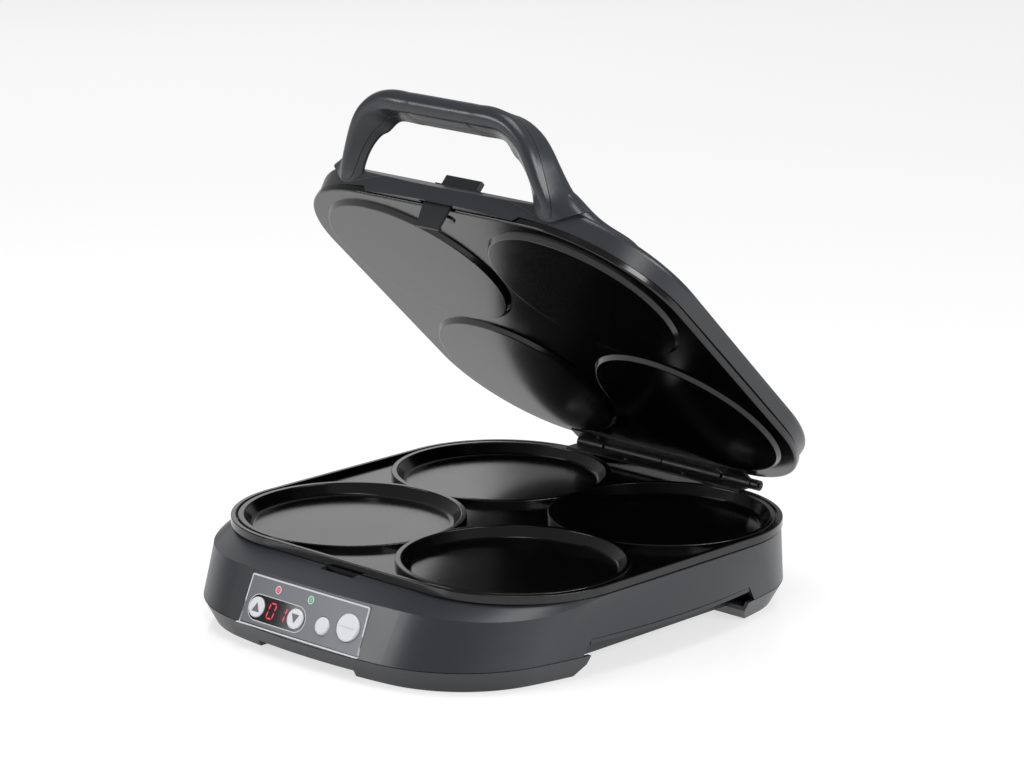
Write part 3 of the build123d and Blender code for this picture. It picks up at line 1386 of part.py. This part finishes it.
def terminals(z, back):
    """The two pins at the ends of an element's tails."""
    with BuildPart() as pins:
        with BuildSketch(facing(back * TAIL_Y)):
            with Locations((-TAIL_X, z), (TAIL_X, z)):
                Circle(TERMINAL_R)
        extrude(amount=-back * TERMINAL_L)
    return pins.part


def heat_shield(z, half):
    """A thin tray with rounded corners and a hole for its middle screw."""
    with BuildPart() as tray:
        with BuildSketch(at(z)):
            RectangleRounded(2 * half, 2 * half, LOOP_R)
            Circle(HOLE_R, mode=Mode.SUBTRACT)
        extrude(amount=SHIELD_T)
    return tray.part


LOWER_TUBE_Z = PAN_BOTTOM - SEAT - TUBE_R
UPPER_TUBE_Z = UPPER_BACK + SEAT + TUBE_R
LOWER_SHIELD_Z = PLATE_TOP - SHIELD_DROP - SHIELD_T
UPPER_SHIELD_Z = HIGH_UPPER + UPPER_SHIELD_RISE
save(heater(LOWER_TUBE_Z, -1), "lower_heater")
save(terminals(LOWER_TUBE_Z, -1), "lower_heater_terminals")
save(heat_shield(LOWER_SHIELD_Z, SHIELD_HALF), "lower_heat_shield")
save(screws([flipped(at(LOWER_SHIELD_Z))], 6), "lower_shield_screw")
save(opened(heater(UPPER_TUBE_Z, 1)), "upper_heater")
save(opened(terminals(UPPER_TUBE_Z, 1)), "upper_heater_terminals")
save(opened(heat_shield(UPPER_SHIELD_Z, UPPER_SHIELD_HALF)), "upper_heat_shield")
save(opened(screws([at(UPPER_SHIELD_Z + SHIELD_T)], 6, HEAD_R, HEAD_H / 2)), "upper_shield_screw")


def sensor(z, up):
    """A round thermostat that stands off a surface at z."""
    with BuildPart() as body:
        with BuildSketch(at(z, SENSOR_X, SENSOR_X)):
            Circle(SENSOR_R)
        extrude(amount=up * SENSOR_H)
        with BuildSketch(at(z + up * SENSOR_H, SENSOR_X, SENSOR_X)):
            Circle(SENSOR_R / 2)
        extrude(amount=up * 1.0)
    return body.part


save(sensor(PAN_BOTTOM, -1), "lower_thermostat")
save(opened(sensor(UPPER_BACK, 1)), "upper_thermostat")

with BuildPart() as thermal_fuse:
    with BuildSketch(at(PAN_BOTTOM, -SENSOR_X, SENSOR_X)):
        Rectangle(2 * SENSOR_R, SENSOR_R)
    extrude(amount=-SENSOR_H)
    fillet(thermal_fuse.edges().filter_by(Axis.X), 1.0)

save(thermal_fuse.part, "thermal_fuse")

# Power board on four studs of the bottom cover, with its relay and transformer
with BuildPart() as power_board:
    with BuildSketch(at(POWER_BOARD_Z, POWER_X_MID, POWER_Y_MID)):
        Rectangle(POWER_W, POWER_D)
    extrude(amount=BOARD_T)
    with BuildSketch(*spots(BOARD_STUDS, POWER_BOARD_Z)):
        Circle(HOLE_R)
    extrude(amount=BOARD_T, mode=Mode.SUBTRACT)

save(power_board.part, "power_board")
save(screws(spots(BOARD_STUDS, POWER_BOARD_Z + BOARD_T), 6, 2.6), "power_board_screws")

with BuildPart() as relay:
    with BuildSketch(at(POWER_BOARD_Z + BOARD_T, POWER_X_MID + POWER_W / 6, POWER_Y_MID)):
        RectangleRounded(RELAY_W, RELAY_D, 1.0)
    extrude(amount=RELAY_H)

save(relay.part, "relay")

with BuildPart() as transformer:
    with BuildSketch(at(POWER_BOARD_Z + BOARD_T, POWER_X_MID - POWER_W / 6, POWER_Y_MID)):
        RectangleRounded(RELAY_D, RELAY_W, 1.0)
    extrude(amount=RELAY_H - 1)

save(transformer.part, "transformer")

# Bush that holds the mains lead in the rear wall
with BuildPart() as cord_inlet:
    with BuildSketch(facing(REAR_WALL_Y)):
        with Locations((INLET_X, INLET_Z)):
            Circle(INLET_FLANGE_R)
    extrude(amount=-INLET_FLANGE_T)
    with BuildSketch(facing(REAR_WALL_Y)):
        with Locations((INLET_X, INLET_Z)):
            Circle(INLET_R - PIN_PLAY)
    extrude(amount=INLET_DEPTH)
    with BuildSketch(facing(REAR_WALL_Y - INLET_DEPTH)):
        with Locations((INLET_X, INLET_Z)):
            Circle(INLET_BORE_R)
    extrude(amount=-INLET_DEPTH - INLET_FLANGE_T, mode=Mode.SUBTRACT)

save(cord_inlet.part, "cord_inlet")
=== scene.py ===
from math import cos, pi, radians, sin, sqrt

import bmesh
import bpy
from mathutils import Matrix, Vector
from mathutils.bvhtree import BVHTree


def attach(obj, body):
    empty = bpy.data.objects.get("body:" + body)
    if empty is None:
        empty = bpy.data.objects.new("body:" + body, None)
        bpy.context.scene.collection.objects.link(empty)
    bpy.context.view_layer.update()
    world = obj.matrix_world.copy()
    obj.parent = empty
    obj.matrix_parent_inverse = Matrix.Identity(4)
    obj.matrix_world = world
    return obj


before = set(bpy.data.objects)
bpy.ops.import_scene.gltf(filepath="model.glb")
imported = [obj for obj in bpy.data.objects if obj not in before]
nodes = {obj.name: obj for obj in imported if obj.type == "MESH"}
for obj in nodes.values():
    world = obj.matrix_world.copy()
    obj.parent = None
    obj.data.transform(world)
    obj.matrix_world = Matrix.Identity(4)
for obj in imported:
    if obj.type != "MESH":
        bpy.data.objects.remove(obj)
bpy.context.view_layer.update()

# Places shared with the model, in metres: the middle of the wells, and the foot of the panel's slope
PAN_Y = 0.01007
PANEL_TILT = radians(23)
PANEL_OUT = Vector((0, -cos(PANEL_TILT), sin(PANEL_TILT)))
PANEL_UP = Vector((0, sin(PANEL_TILT), cos(PANEL_TILT)))
SEAM_FOOT = Vector((0, PAN_Y - 0.16305, 0.013))

# The photograph's view: angles in degrees, the focal length in pixels of its width
VIEW_AZIMUTH = 42.52
VIEW_ELEVATION = 14.57
VIEW_ROLL = 0.6
VIEW_DISTANCE = 2.41199
VIEW_TARGET = Vector((-0.18988, 0.20985 + PAN_Y, 0.05))
FOCAL_PIXELS = 3850.68
PHOTO_WIDTH = 1024
SENSOR_WIDTH = 36.0


# Camera at the photograph's viewing angle
def make_camera():
    az, el, roll = radians(VIEW_AZIMUTH), radians(VIEW_ELEVATION), radians(VIEW_ROLL)
    ahead = Vector((-sin(az) * cos(el), cos(az) * cos(el), -sin(el)))
    right = ahead.cross(Vector((0, 0, 1))).normalized()
    up = right.cross(ahead)
    right, up = cos(roll) * right + sin(roll) * up, cos(roll) * up - sin(roll) * right
    place = Matrix((right, up, -ahead)).transposed().to_4x4()
    place.translation = VIEW_TARGET - ahead * VIEW_DISTANCE
    data = bpy.data.cameras.new("view")
    data.sensor_width = SENSOR_WIDTH
    data.lens = FOCAL_PIXELS / PHOTO_WIDTH * SENSOR_WIDTH
    data.clip_end = 50.0
    camera = bpy.data.objects.new("view", data)
    camera.matrix_world = place
    bpy.context.scene.collection.objects.link(camera)
    bpy.context.scene.camera = camera


make_camera()


# Materials. Most of a noise's values lie between these two.
NOISE_LOW, NOISE_HIGH = 0.3, 0.7


def material(name, colour, rough, metallic=0.0, specular=0.5):
    """A new material with its node tree and its shader."""
    mat = bpy.data.materials.new(name)
    mat.use_nodes = True
    shader = mat.node_tree.nodes["Principled BSDF"]
    shader.inputs["Base Color"].default_value = (*colour, 1)
    shader.inputs["Roughness"].default_value = rough
    shader.inputs["Metallic"].default_value = metallic
    shader.inputs["Specular IOR Level"].default_value = specular
    return mat, mat.node_tree, shader


def noise(tree, scale, detail=2.0, stretch=None):
    """Noise over the object's own coordinates, with an optional stretch along each axis."""
    coords = tree.nodes.new("ShaderNodeTexCoord")
    texture = tree.nodes.new("ShaderNodeTexNoise")
    texture.inputs["Scale"].default_value = scale
    texture.inputs["Detail"].default_value = detail
    if stretch:
        mapping = tree.nodes.new("ShaderNodeMapping")
        mapping.inputs["Scale"].default_value = stretch
        tree.links.new(coords.outputs["Object"], mapping.inputs["Vector"])
        tree.links.new(mapping.outputs["Vector"], texture.inputs["Vector"])
    else:
        tree.links.new(coords.outputs["Object"], texture.inputs["Vector"])
    return texture


def span(tree, source, low, high, socket):
    """Feed a noise value to a socket, spread between two values."""
    ramp = tree.nodes.new("ShaderNodeMapRange")
    ramp.inputs["From Min"].default_value = NOISE_LOW
    ramp.inputs["From Max"].default_value = NOISE_HIGH
    ramp.inputs["To Min"].default_value = low
    ramp.inputs["To Max"].default_value = high
    tree.links.new(source.outputs["Fac"], ramp.inputs["Value"])
    tree.links.new(ramp.outputs["Result"], socket)


def tint(tree, source, first, second, socket):
    """Mix two near colours by a noise value."""
    ramp = tree.nodes.new("ShaderNodeValToRGB")
    ramp.color_ramp.elements[0].position = 0.35
    ramp.color_ramp.elements[0].color = (*first, 1)
    ramp.color_ramp.elements[1].position = 0.65
    ramp.color_ramp.elements[1].color = (*second, 1)
    tree.links.new(source.outputs["Fac"], ramp.inputs["Fac"])
    tree.links.new(ramp.outputs["Color"], socket)


def grain(tree, shader, scale, strength, distance, stretch=None):
    """Fine relief on the surface, its depth in metres."""
    source = noise(tree, scale, 3.0, stretch)
    bump = tree.nodes.new("ShaderNodeBump")
    bump.inputs["Strength"].default_value = strength
    bump.inputs["Distance"].default_value = distance
    tree.links.new(source.outputs["Fac"], bump.inputs["Height"])
    tree.links.new(bump.outputs["Normal"], shader.inputs["Normal"])


def moulded(name, colour, rough, grain_strength=0.25, specular=0.5):
    """Satin moulded plastic with a fine spark finish and a slight change of gloss."""
    mat, tree, shader = material(name, colour, rough, specular=specular)
    cloud = noise(tree, 22.0)
    span(tree, cloud, rough - 0.025, rough + 0.025, shader.inputs["Roughness"])
    deeper = tuple(c * 0.94 for c in colour)
    lighter = tuple(c * 1.06 for c in colour)
    tint(tree, noise(tree, 9.0), deeper, lighter, shader.inputs["Base Color"])
    grain(tree, shader, 2600.0, grain_strength, 0.00004)
    return mat


def coated(name, colour, rough):
    """Non-stick coating: nearly black, satin, with a faint speckle of lighter flakes."""
    mat, tree, shader = material(name, colour, rough, specular=0.5)
    flakes = noise(tree, 1900.0, 1.0)
    ramp = tree.nodes.new("ShaderNodeValToRGB")
    ramp.color_ramp.elements[0].position = 0.62
    ramp.color_ramp.elements[0].color = (*colour, 1)
    ramp.color_ramp.elements[1].position = 0.74
    ramp.color_ramp.elements[1].color = (*tuple(c * 2.2 for c in colour), 1)
    tree.links.new(flakes.outputs["Fac"], ramp.inputs["Fac"])
    tree.links.new(ramp.outputs["Color"], shader.inputs["Base Color"])
    span(tree, noise(tree, 16.0), rough - 0.02, rough + 0.03, shader.inputs["Roughness"])
    grain(tree, shader, 1400.0, 0.12, 0.00005)
    return mat


def steel(name, colour, rough, stretch=(1, 1, 1)):
    """Plain or drawn steel with fine lines along one axis."""
    mat, tree, shader = material(name, colour, rough, metallic=1.0)
    span(tree, noise(tree, 300.0, 2.0, stretch), rough - 0.08, rough + 0.08, shader.inputs["Roughness"])
    tint(tree, noise(tree, 60.0), tuple(c * 0.9 for c in colour), colour, shader.inputs["Base Color"])
    grain(tree, shader, 700.0, 0.1, 0.00003, stretch)
    return mat


def printed(name, colour, rough=0.45):
    """Ink or a light cap: one colour with a slight mottle."""
    mat, tree, shader = material(name, colour, rough)
    tint(tree, noise(tree, 240.0), tuple(c * 0.97 for c in colour), colour, shader.inputs["Base Color"])
    span(tree, noise(tree, 60.0), rough - 0.04, rough + 0.04, shader.inputs["Roughness"])
    grain(tree, shader, 1500.0, 0.08, 0.00003)
    return mat


def lit(name, colour, strength):
    """A glowing segment or lens."""
    mat, tree, shader = material(name, colour, 0.3)
    shader.inputs["Emission Color"].default_value = (*colour, 1)
    shader.inputs["Emission Strength"].default_value = strength
    tint(tree, noise(tree, 400.0), tuple(c * 0.85 for c in colour), colour, shader.inputs["Base Color"])
    span(tree, noise(tree, 80.0), 0.26, 0.34, shader.inputs["Roughness"])
    grain(tree, shader, 1500.0, 0.05, 0.00003)
    return mat


BODY = (0.032, 0.034, 0.040)
LATCH = (0.022, 0.023, 0.027)
body_mat = moulded("charcoal_body", BODY, 0.33)
lid_mat = moulded("charcoal_lid", BODY, 0.31)
handle_mat = moulded("charcoal_handle", BODY, 0.28)
cover_mat = moulded("charcoal_cover", BODY, 0.36)
latch_mat = moulded("charcoal_latch", LATCH, 0.38)
plate_mat = coated("nonstick_coating", (0.0022, 0.0022, 0.0026), 0.15)
fascia_mat = moulded("fascia_film", (0.185, 0.193, 0.213), 0.40, 0.1)
window_mat = moulded("smoked_window", (0.010, 0.011, 0.013), 0.13, 0.04)
white_mat = printed("white_cap", (0.86, 0.87, 0.90), 0.32)
ink_mat = printed("white_ink", (0.85, 0.86, 0.88), 0.5)
grey_ink_mat = printed("grey_ink", (0.16, 0.165, 0.18), 0.5)
pale_ink_mat = printed("pale_grey_ink", (0.55, 0.56, 0.58), 0.5)
digit_mat = lit("red_segment", (0.70, 0.004, 0.03), 0.8)
red_mat = lit("red_lens", (0.80, 0.05, 0.08), 0.35)
green_mat = lit("green_lens", (0.05, 0.48, 0.20), 0.25)
rubber_mat = moulded("foot_rubber", (0.02, 0.02, 0.021), 0.7, 0.4)
hinge_mat = steel("blackened_steel", (0.045, 0.045, 0.048), 0.42)
bright_mat = steel("bright_steel", (0.58, 0.58, 0.60), 0.28)
screw_mat = steel("dark_screw", (0.12, 0.12, 0.125), 0.35)
tube_mat = steel("heater_tube", (0.30, 0.28, 0.27), 0.45)
shield_mat = steel("shield_sheet", (0.62, 0.62, 0.64), 0.35, (1, 12, 1))
board_mat = moulded("circuit_board", (0.02, 0.16, 0.07), 0.4, 0.1)
component_mat = moulded("component_case", (0.03, 0.03, 0.035), 0.5, 0.15)
relay_mat = moulded("relay_case", (0.03, 0.07, 0.25), 0.35, 0.05)

LOOKS = {
    "base_housing": body_mat,
    "bottom_cover": cover_mat,
    "rubber_feet": rubber_mat,
    "lower_plate": plate_mat,
    "upper_plate": plate_mat,
    "lower_heater": tube_mat,
    "upper_heater": tube_mat,
    "lower_heat_shield": shield_mat,
    "upper_heat_shield": shield_mat,
    "power_board": board_mat,
    "control_board": board_mat,
    "relay": relay_mat,
    "transformer": component_mat,
    "thermal_fuse": component_mat,
    "tact_switches": component_mat,
    "display_module": component_mat,
    "cord_inlet": rubber_mat,
    "control_fascia": fascia_mat,
    "display_window": window_mat,
    "power_light": red_mat,
    "ready_light": green_mat,
    "base_hinge_leaf": hinge_mat,
    "lid_hinge_leaf": hinge_mat,
    "hinge_pin": hinge_mat,
    "hinge_retainer": hinge_mat,
    "lid_shell": lid_mat,
    "handle_frame": handle_mat,
    "latch_bezel": latch_mat,
    "latch_lever": latch_mat,
    "latch_button": latch_mat,
    "latch_pin": bright_mat,
    "latch_spring": bright_mat,
    "up_button": white_mat,
    "down_button": white_mat,
    "more_button": white_mat,
    "start_button": white_mat,
}

for name, node in nodes.items():
    chosen = LOOKS.get(name, screw_mat if "screw" in name else bright_mat)
    node.data.materials.clear()
    node.data.materials.append(chosen)


# Print on the panel: flat pieces laid on the curved face. PROUD is their height over it, in metres.
PROUD = 0.00006
RAY_START = 0.02
RAY_LENGTH = 0.05
PER_METRE = 1000


def face_tree(*names):
    """One search tree over the named nodes' meshes."""
    points = []
    faces = []
    for name in names:
        mesh = nodes[name].data
        start = len(points)
        points += [v.co.copy() for v in mesh.vertices]
        faces += [[start + i for i in p.vertices] for p in mesh.polygons]
    return BVHTree.FromPolygons(points, faces)


def laid(name, mat, body, shapes, tree):
    """A thin printed piece whose outline points, in millimetres across and up, are dropped on a surface."""
    build = bmesh.new()
    for rows in shapes:
        grid = []
        for row in rows:
            line = []
            for x, v in row:
                foot = SEAM_FOOT + Vector((x / PER_METRE, 0, 0)) + PANEL_UP * (v / PER_METRE)
                start = foot + PANEL_OUT * RAY_START
                hit = tree.ray_cast(start, -PANEL_OUT, RAY_LENGTH)[0]
                if hit is None:
                    hit = start - PANEL_OUT * RAY_START
                line.append(build.verts.new(hit + PANEL_OUT * PROUD))
            grid.append(line)
        for low, high in zip(grid, grid[1:]):
            for i in range(len(low) - 1):
                build.faces.new((low[i], low[i + 1], high[i + 1], high[i]))
    bmesh.ops.recalc_face_normals(build, faces=build.faces)
    for face in build.faces:
        if face.normal.dot(PANEL_OUT) < 0:
            face.normal_flip()
    mesh = bpy.data.meshes.new(name)
    build.to_mesh(mesh)
    build.free()
    piece = bpy.data.objects.new(name, mesh)
    bpy.context.scene.collection.objects.link(piece)
    mesh.materials.append(mat)
    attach(piece, body)


def loop_band(points, width):
    """Rows for a closed line of a width that runs inside a closed outline."""
    count = len(points)
    inner = []
    for i, point in enumerate(points):
        before = points[i - 1]
        after = points[(i + 1) % count]
        along = (after[0] - before[0], after[1] - before[1])
        size = sqrt(along[0] ** 2 + along[1] ** 2)
        normal = (-along[1] / size, along[0] / size)
        inner.append((point[0] + normal[0] * width, point[1] + normal[1] * width))
    return [points + points[:1], inner + inner[:1]]


def joined(arcs, along=24):
    """A closed outline of corner arcs, with extra points along the straight runs between them."""
    outline = []
    for i, arc in enumerate(arcs):
        outline += arc
        first = arc[-1]
        last = arcs[(i + 1) % len(arcs)][0]
        for k in range(1, along):
            t = k / along
            outline.append((first[0] + (last[0] - first[0]) * t, first[1] + (last[1] - first[1]) * t))
    return outline


def rounded_box(left, right, low, high, radius, steps):
    """Outline of a rounded box, anticlockwise."""
    corners = (
        ((right - radius, low + radius), -90),
        ((right - radius, high - radius), 0),
        ((left + radius, high - radius), 90),
        ((left + radius, low + radius), 180),
    )
    arcs = []
    for (cx, cy), start in corners:
        arc = []
        for i in range(steps + 1):
            angle = radians(start + 90 * i / steps)
            arc.append((cx + radius * cos(angle), cy + radius * sin(angle)))
        arcs.append(arc)
    return joined(arcs)


def slanted_box(low_left, low_right, high_right, high_left, radius, steps=5):
    """Outline of a four-sided frame with rounded corners, anticlockwise."""
    corners = [Vector(p) for p in (low_right, high_right, high_left, low_left)]
    arcs = []
    for i, corner in enumerate(corners):
        back = (corners[i - 1] - corner).normalized()
        ahead = (corners[(i + 1) % 4] - corner).normalized()
        arc = []
        for k in range(steps + 1):
            t = k / steps
            away = back * (radius * (1 - t) ** 2) + ahead * (radius * t ** 2)
            arc.append(tuple(corner + away))
        arcs.append(arc)
    return joined(arcs)


def ring(cx, cy, radius, width, steps=36):
    """Rows for a flat ring."""
    outer = []
    inner = []
    for i in range(steps + 1):
        angle = 2 * pi * i / steps
        outer.append((cx + radius * cos(angle), cy + radius * sin(angle)))
        inner.append((cx + (radius - width) * cos(angle), cy + (radius - width) * sin(angle)))
    return [outer, inner]


# Share of a bar's width that its pointed end keeps
POINT_SHARE = 0.15


def strip(a, b, width, steps=6, pointed=False):
    """Rows for a straight bar between two points, with its ends plain or drawn to a point."""
    dx, dy = b[0] - a[0], b[1] - a[1]
    size = sqrt(dx * dx + dy * dy)
    ux, uy = dx / size, dy / size
    nx, ny = -uy * width / 2, ux * width / 2
    rows = [[], []]
    for i in range(steps + 1):
        t = i / steps
        x, y = a[0] + dx * t, a[1] + dy * t
        k = POINT_SHARE if pointed and i in (0, steps) else 1.0
        rows[0].append((x - nx * k, y - ny * k))
        rows[1].append((x + nx * k, y + ny * k))
    return rows


def triangle(cx, cy, half, height, up):
    """Rows for a triangle that points up where up is 1 and down where it is -1."""
    steps = 6
    rows = []
    for i in range(steps + 1):
        t = i / steps
        y = cy + up * height * (t - 0.5)
        w = half * max(1 - t, 0.01)
        rows.append([(cx - w, y), (cx, y), (cx + w, y)])
    return rows


# Places on the panel, in millimetres across from its middle and up from its foot
UP_X, DOWN_X, ARROW_V = -35.8, -5.2, 11.3
POWER_X, READY_X, LIGHT_V = -23.4, 1.7, 23.3
START_LEFT, START_RIGHT, START_V = 25.9, 36.9, 15.0
BORDER_CORNERS = ((-47.4, 0.6), (43.0, 0.8), (41.9, 28.6), (-46.4, 28.3))
BORDER_R, BORDER_WIDTH = 1.3, 0.85
RIM_HALF, RIM_R, RIM_WIDTH = 7.35, 7.3, 0.45
LIGHT_RING_R, LIGHT_RING_WIDTH = 2.25, 0.65
ARROW_HALF, ARROW_HEIGHT = 2.8, 5.0

border = loop_band(slanted_box(*BORDER_CORNERS, BORDER_R), BORDER_WIDTH)
laid("panel_border", ink_mat, "base", [border], face_tree("control_fascia", "base_housing"))

rim_box = (UP_X - RIM_HALF, DOWN_X + RIM_HALF, ARROW_V - RIM_HALF, ARROW_V + RIM_HALF)
rim = loop_band(rounded_box(*rim_box, RIM_R, 16), RIM_WIDTH)
laid("window_outline", ink_mat, "base", [rim], face_tree("control_fascia", "display_window"))

light_rings = [ring(x, LIGHT_V, LIGHT_RING_R, LIGHT_RING_WIDTH) for x in (POWER_X, READY_X)]
laid("light_rings", ink_mat, "base", light_rings, face_tree("control_fascia", "base_housing"))

up_arrow = triangle(UP_X, ARROW_V, ARROW_HALF, ARROW_HEIGHT, 1)
laid("up_mark", grey_ink_mat, "up_key", [up_arrow], face_tree("up_button"))
down_arrow = triangle(DOWN_X, ARROW_V, ARROW_HALF, ARROW_HEIGHT, -1)
laid("down_mark", grey_ink_mat, "down_key", [down_arrow], face_tree("down_button"))
start_bar = strip((START_LEFT, START_V), (START_RIGHT, START_V), 0.3)
laid("start_mark", pale_ink_mat, "start_key", [start_bar], face_tree("start_button"))

# The two figures of the display, in millimetres; LEAN is their slant
DIGIT_LOW, DIGIT_HIGH = 7.2, 15.6
DIGIT_HALF = 2.3
LEAN = 0.16
BAR_GAP = 0.35
BAR_WIDTH = 0.95
FIRST_X, SECOND_X = -24.4, -15.9


def digit_bars(cx, which):
    """The lit bars of one slanted seven-bar figure."""
    low, high, half, gap = DIGIT_LOW, DIGIT_HIGH, DIGIT_HALF, BAR_GAP
    middle = (low + high) / 2

    def place(x, y):
        return (cx + x + (y - middle) * LEAN, y)

    bars = {
        "a": (place(-half + gap, high), place(half - gap, high)),
        "b": (place(half, high - gap), place(half, middle + gap)),
        "c": (place(half, middle - gap), place(half, low + gap)),
        "d": (place(-half + gap, low), place(half - gap, low)),
        "e": (place(-half, middle - gap), place(-half, low + gap)),
        "f": (place(-half, high - gap), place(-half, middle + gap)),
    }
    return [strip(*bars[key], BAR_WIDTH, 4, True) for key in which]


digits = digit_bars(FIRST_X, "abcdef") + digit_bars(SECOND_X, "bc")
laid("display_figures", digit_mat, "base", digits, face_tree("display_window"))


# Floor and light. The floor glows and the world is white only for the rays named below.
FLOOR_HALF = 6.0
FLOOR_GREY = 0.5
FLOOR_GLOW = 0.64
WORLD_LIGHT = 0.30


def seen_by(tree, *kinds):
    """A socket that is 1 for a ray of any of the named kinds."""
    rays = tree.nodes.new("ShaderNodeLightPath")
    mask = rays.outputs[kinds[0]]
    for kind in kinds[1:]:
        larger = tree.nodes.new("ShaderNodeMath")
        larger.operation = "MAXIMUM"
        tree.links.new(mask, larger.inputs[0])
        tree.links.new(rays.outputs[kind], larger.inputs[1])
        mask = larger.outputs[0]
    return mask


def backdrop():
    half = FLOOR_HALF
    corners = [(-half, -half, 0), (half, -half, 0), (half, half, 0), (-half, half, 0)]
    mesh = bpy.data.meshes.new("floor")
    mesh.from_pydata(corners, [], [(0, 1, 2, 3)])
    floor = bpy.data.objects.new("floor", mesh)
    bpy.context.scene.collection.objects.link(floor)
    mat, tree, shader = material("floor_white", (FLOOR_GREY,) * 3, 0.2, specular=0.3)
    glow = tree.nodes.new("ShaderNodeEmission")
    glow.inputs["Color"].default_value = (1, 1, 1, 1)
    glow.inputs["Strength"].default_value = FLOOR_GLOW
    dark = tree.nodes.new("ShaderNodeEmission")
    dark.inputs["Strength"].default_value = 0.0
    choose = tree.nodes.new("ShaderNodeMixShader")
    mask = seen_by(tree, "Is Camera Ray", "Is Glossy Ray", "Is Transmission Ray")
    tree.links.new(mask, choose.inputs["Fac"])
    tree.links.new(dark.outputs[0], choose.inputs[1])
    tree.links.new(glow.outputs[0], choose.inputs[2])
    both = tree.nodes.new("ShaderNodeAddShader")
    tree.links.new(shader.outputs[0], both.inputs[0])
    tree.links.new(choose.outputs[0], both.inputs[1])
    tree.links.new(both.outputs[0], tree.nodes["Material Output"].inputs["Surface"])
    mesh.materials.append(mat)


def world_light():
    world = bpy.data.worlds.new("studio")
    bpy.context.scene.world = world
    world.use_nodes = True
    tree = world.node_tree
    back = tree.nodes["Background"]
    back.inputs["Color"].default_value = (1, 1, 1, 1)
    back.inputs["Strength"].default_value = WORLD_LIGHT
    bright = tree.nodes.new("ShaderNodeBackground")
    bright.inputs["Color"].default_value = (1, 1, 1, 1)
    bright.inputs["Strength"].default_value = 1.0
    choose = tree.nodes.new("ShaderNodeMixShader")
    tree.links.new(seen_by(tree, "Is Camera Ray", "Is Transmission Ray"), choose.inputs["Fac"])
    tree.links.new(back.outputs[0], choose.inputs[1])
    tree.links.new(bright.outputs[0], choose.inputs[2])
    tree.links.new(choose.outputs[0], tree.nodes["World Output"].inputs["Surface"])


def lamp(name, place, aim, width, height, power):
    """An area lamp at a place, turned to a point; sizes in metres, power in watts."""
    data = bpy.data.lights.new(name, "AREA")
    data.shape = "RECTANGLE"
    data.size = width
    data.size_y = height
    data.energy = power
    light = bpy.data.objects.new(name, data)
    light.location = place
    light.rotation_euler = (Vector(aim) - Vector(place)).to_track_quat("-Z", "Y").to_euler()
    bpy.context.scene.collection.objects.link(light)


backdrop()
world_light()
lamp("right", (1.9, 0.15, 1.0), (0, 0, 0.2), 1.5, 0.5, 21.0)
lamp("front_left", (-1.05, -1.7, 0.75), (0, 0, 0.08), 1.0, 0.45, 12.0)
lamp("rear_left", (-1.65, 1.15, 0.62), (0, 0, 0.1), 0.9, 0.5, 1.2)
lamp("top", (0.2, -0.1, 1.9), (0, 0, 0.1), 1.0, 1.0, 13.0)

bpy.context.scene.view_settings.view_transform = "Standard"
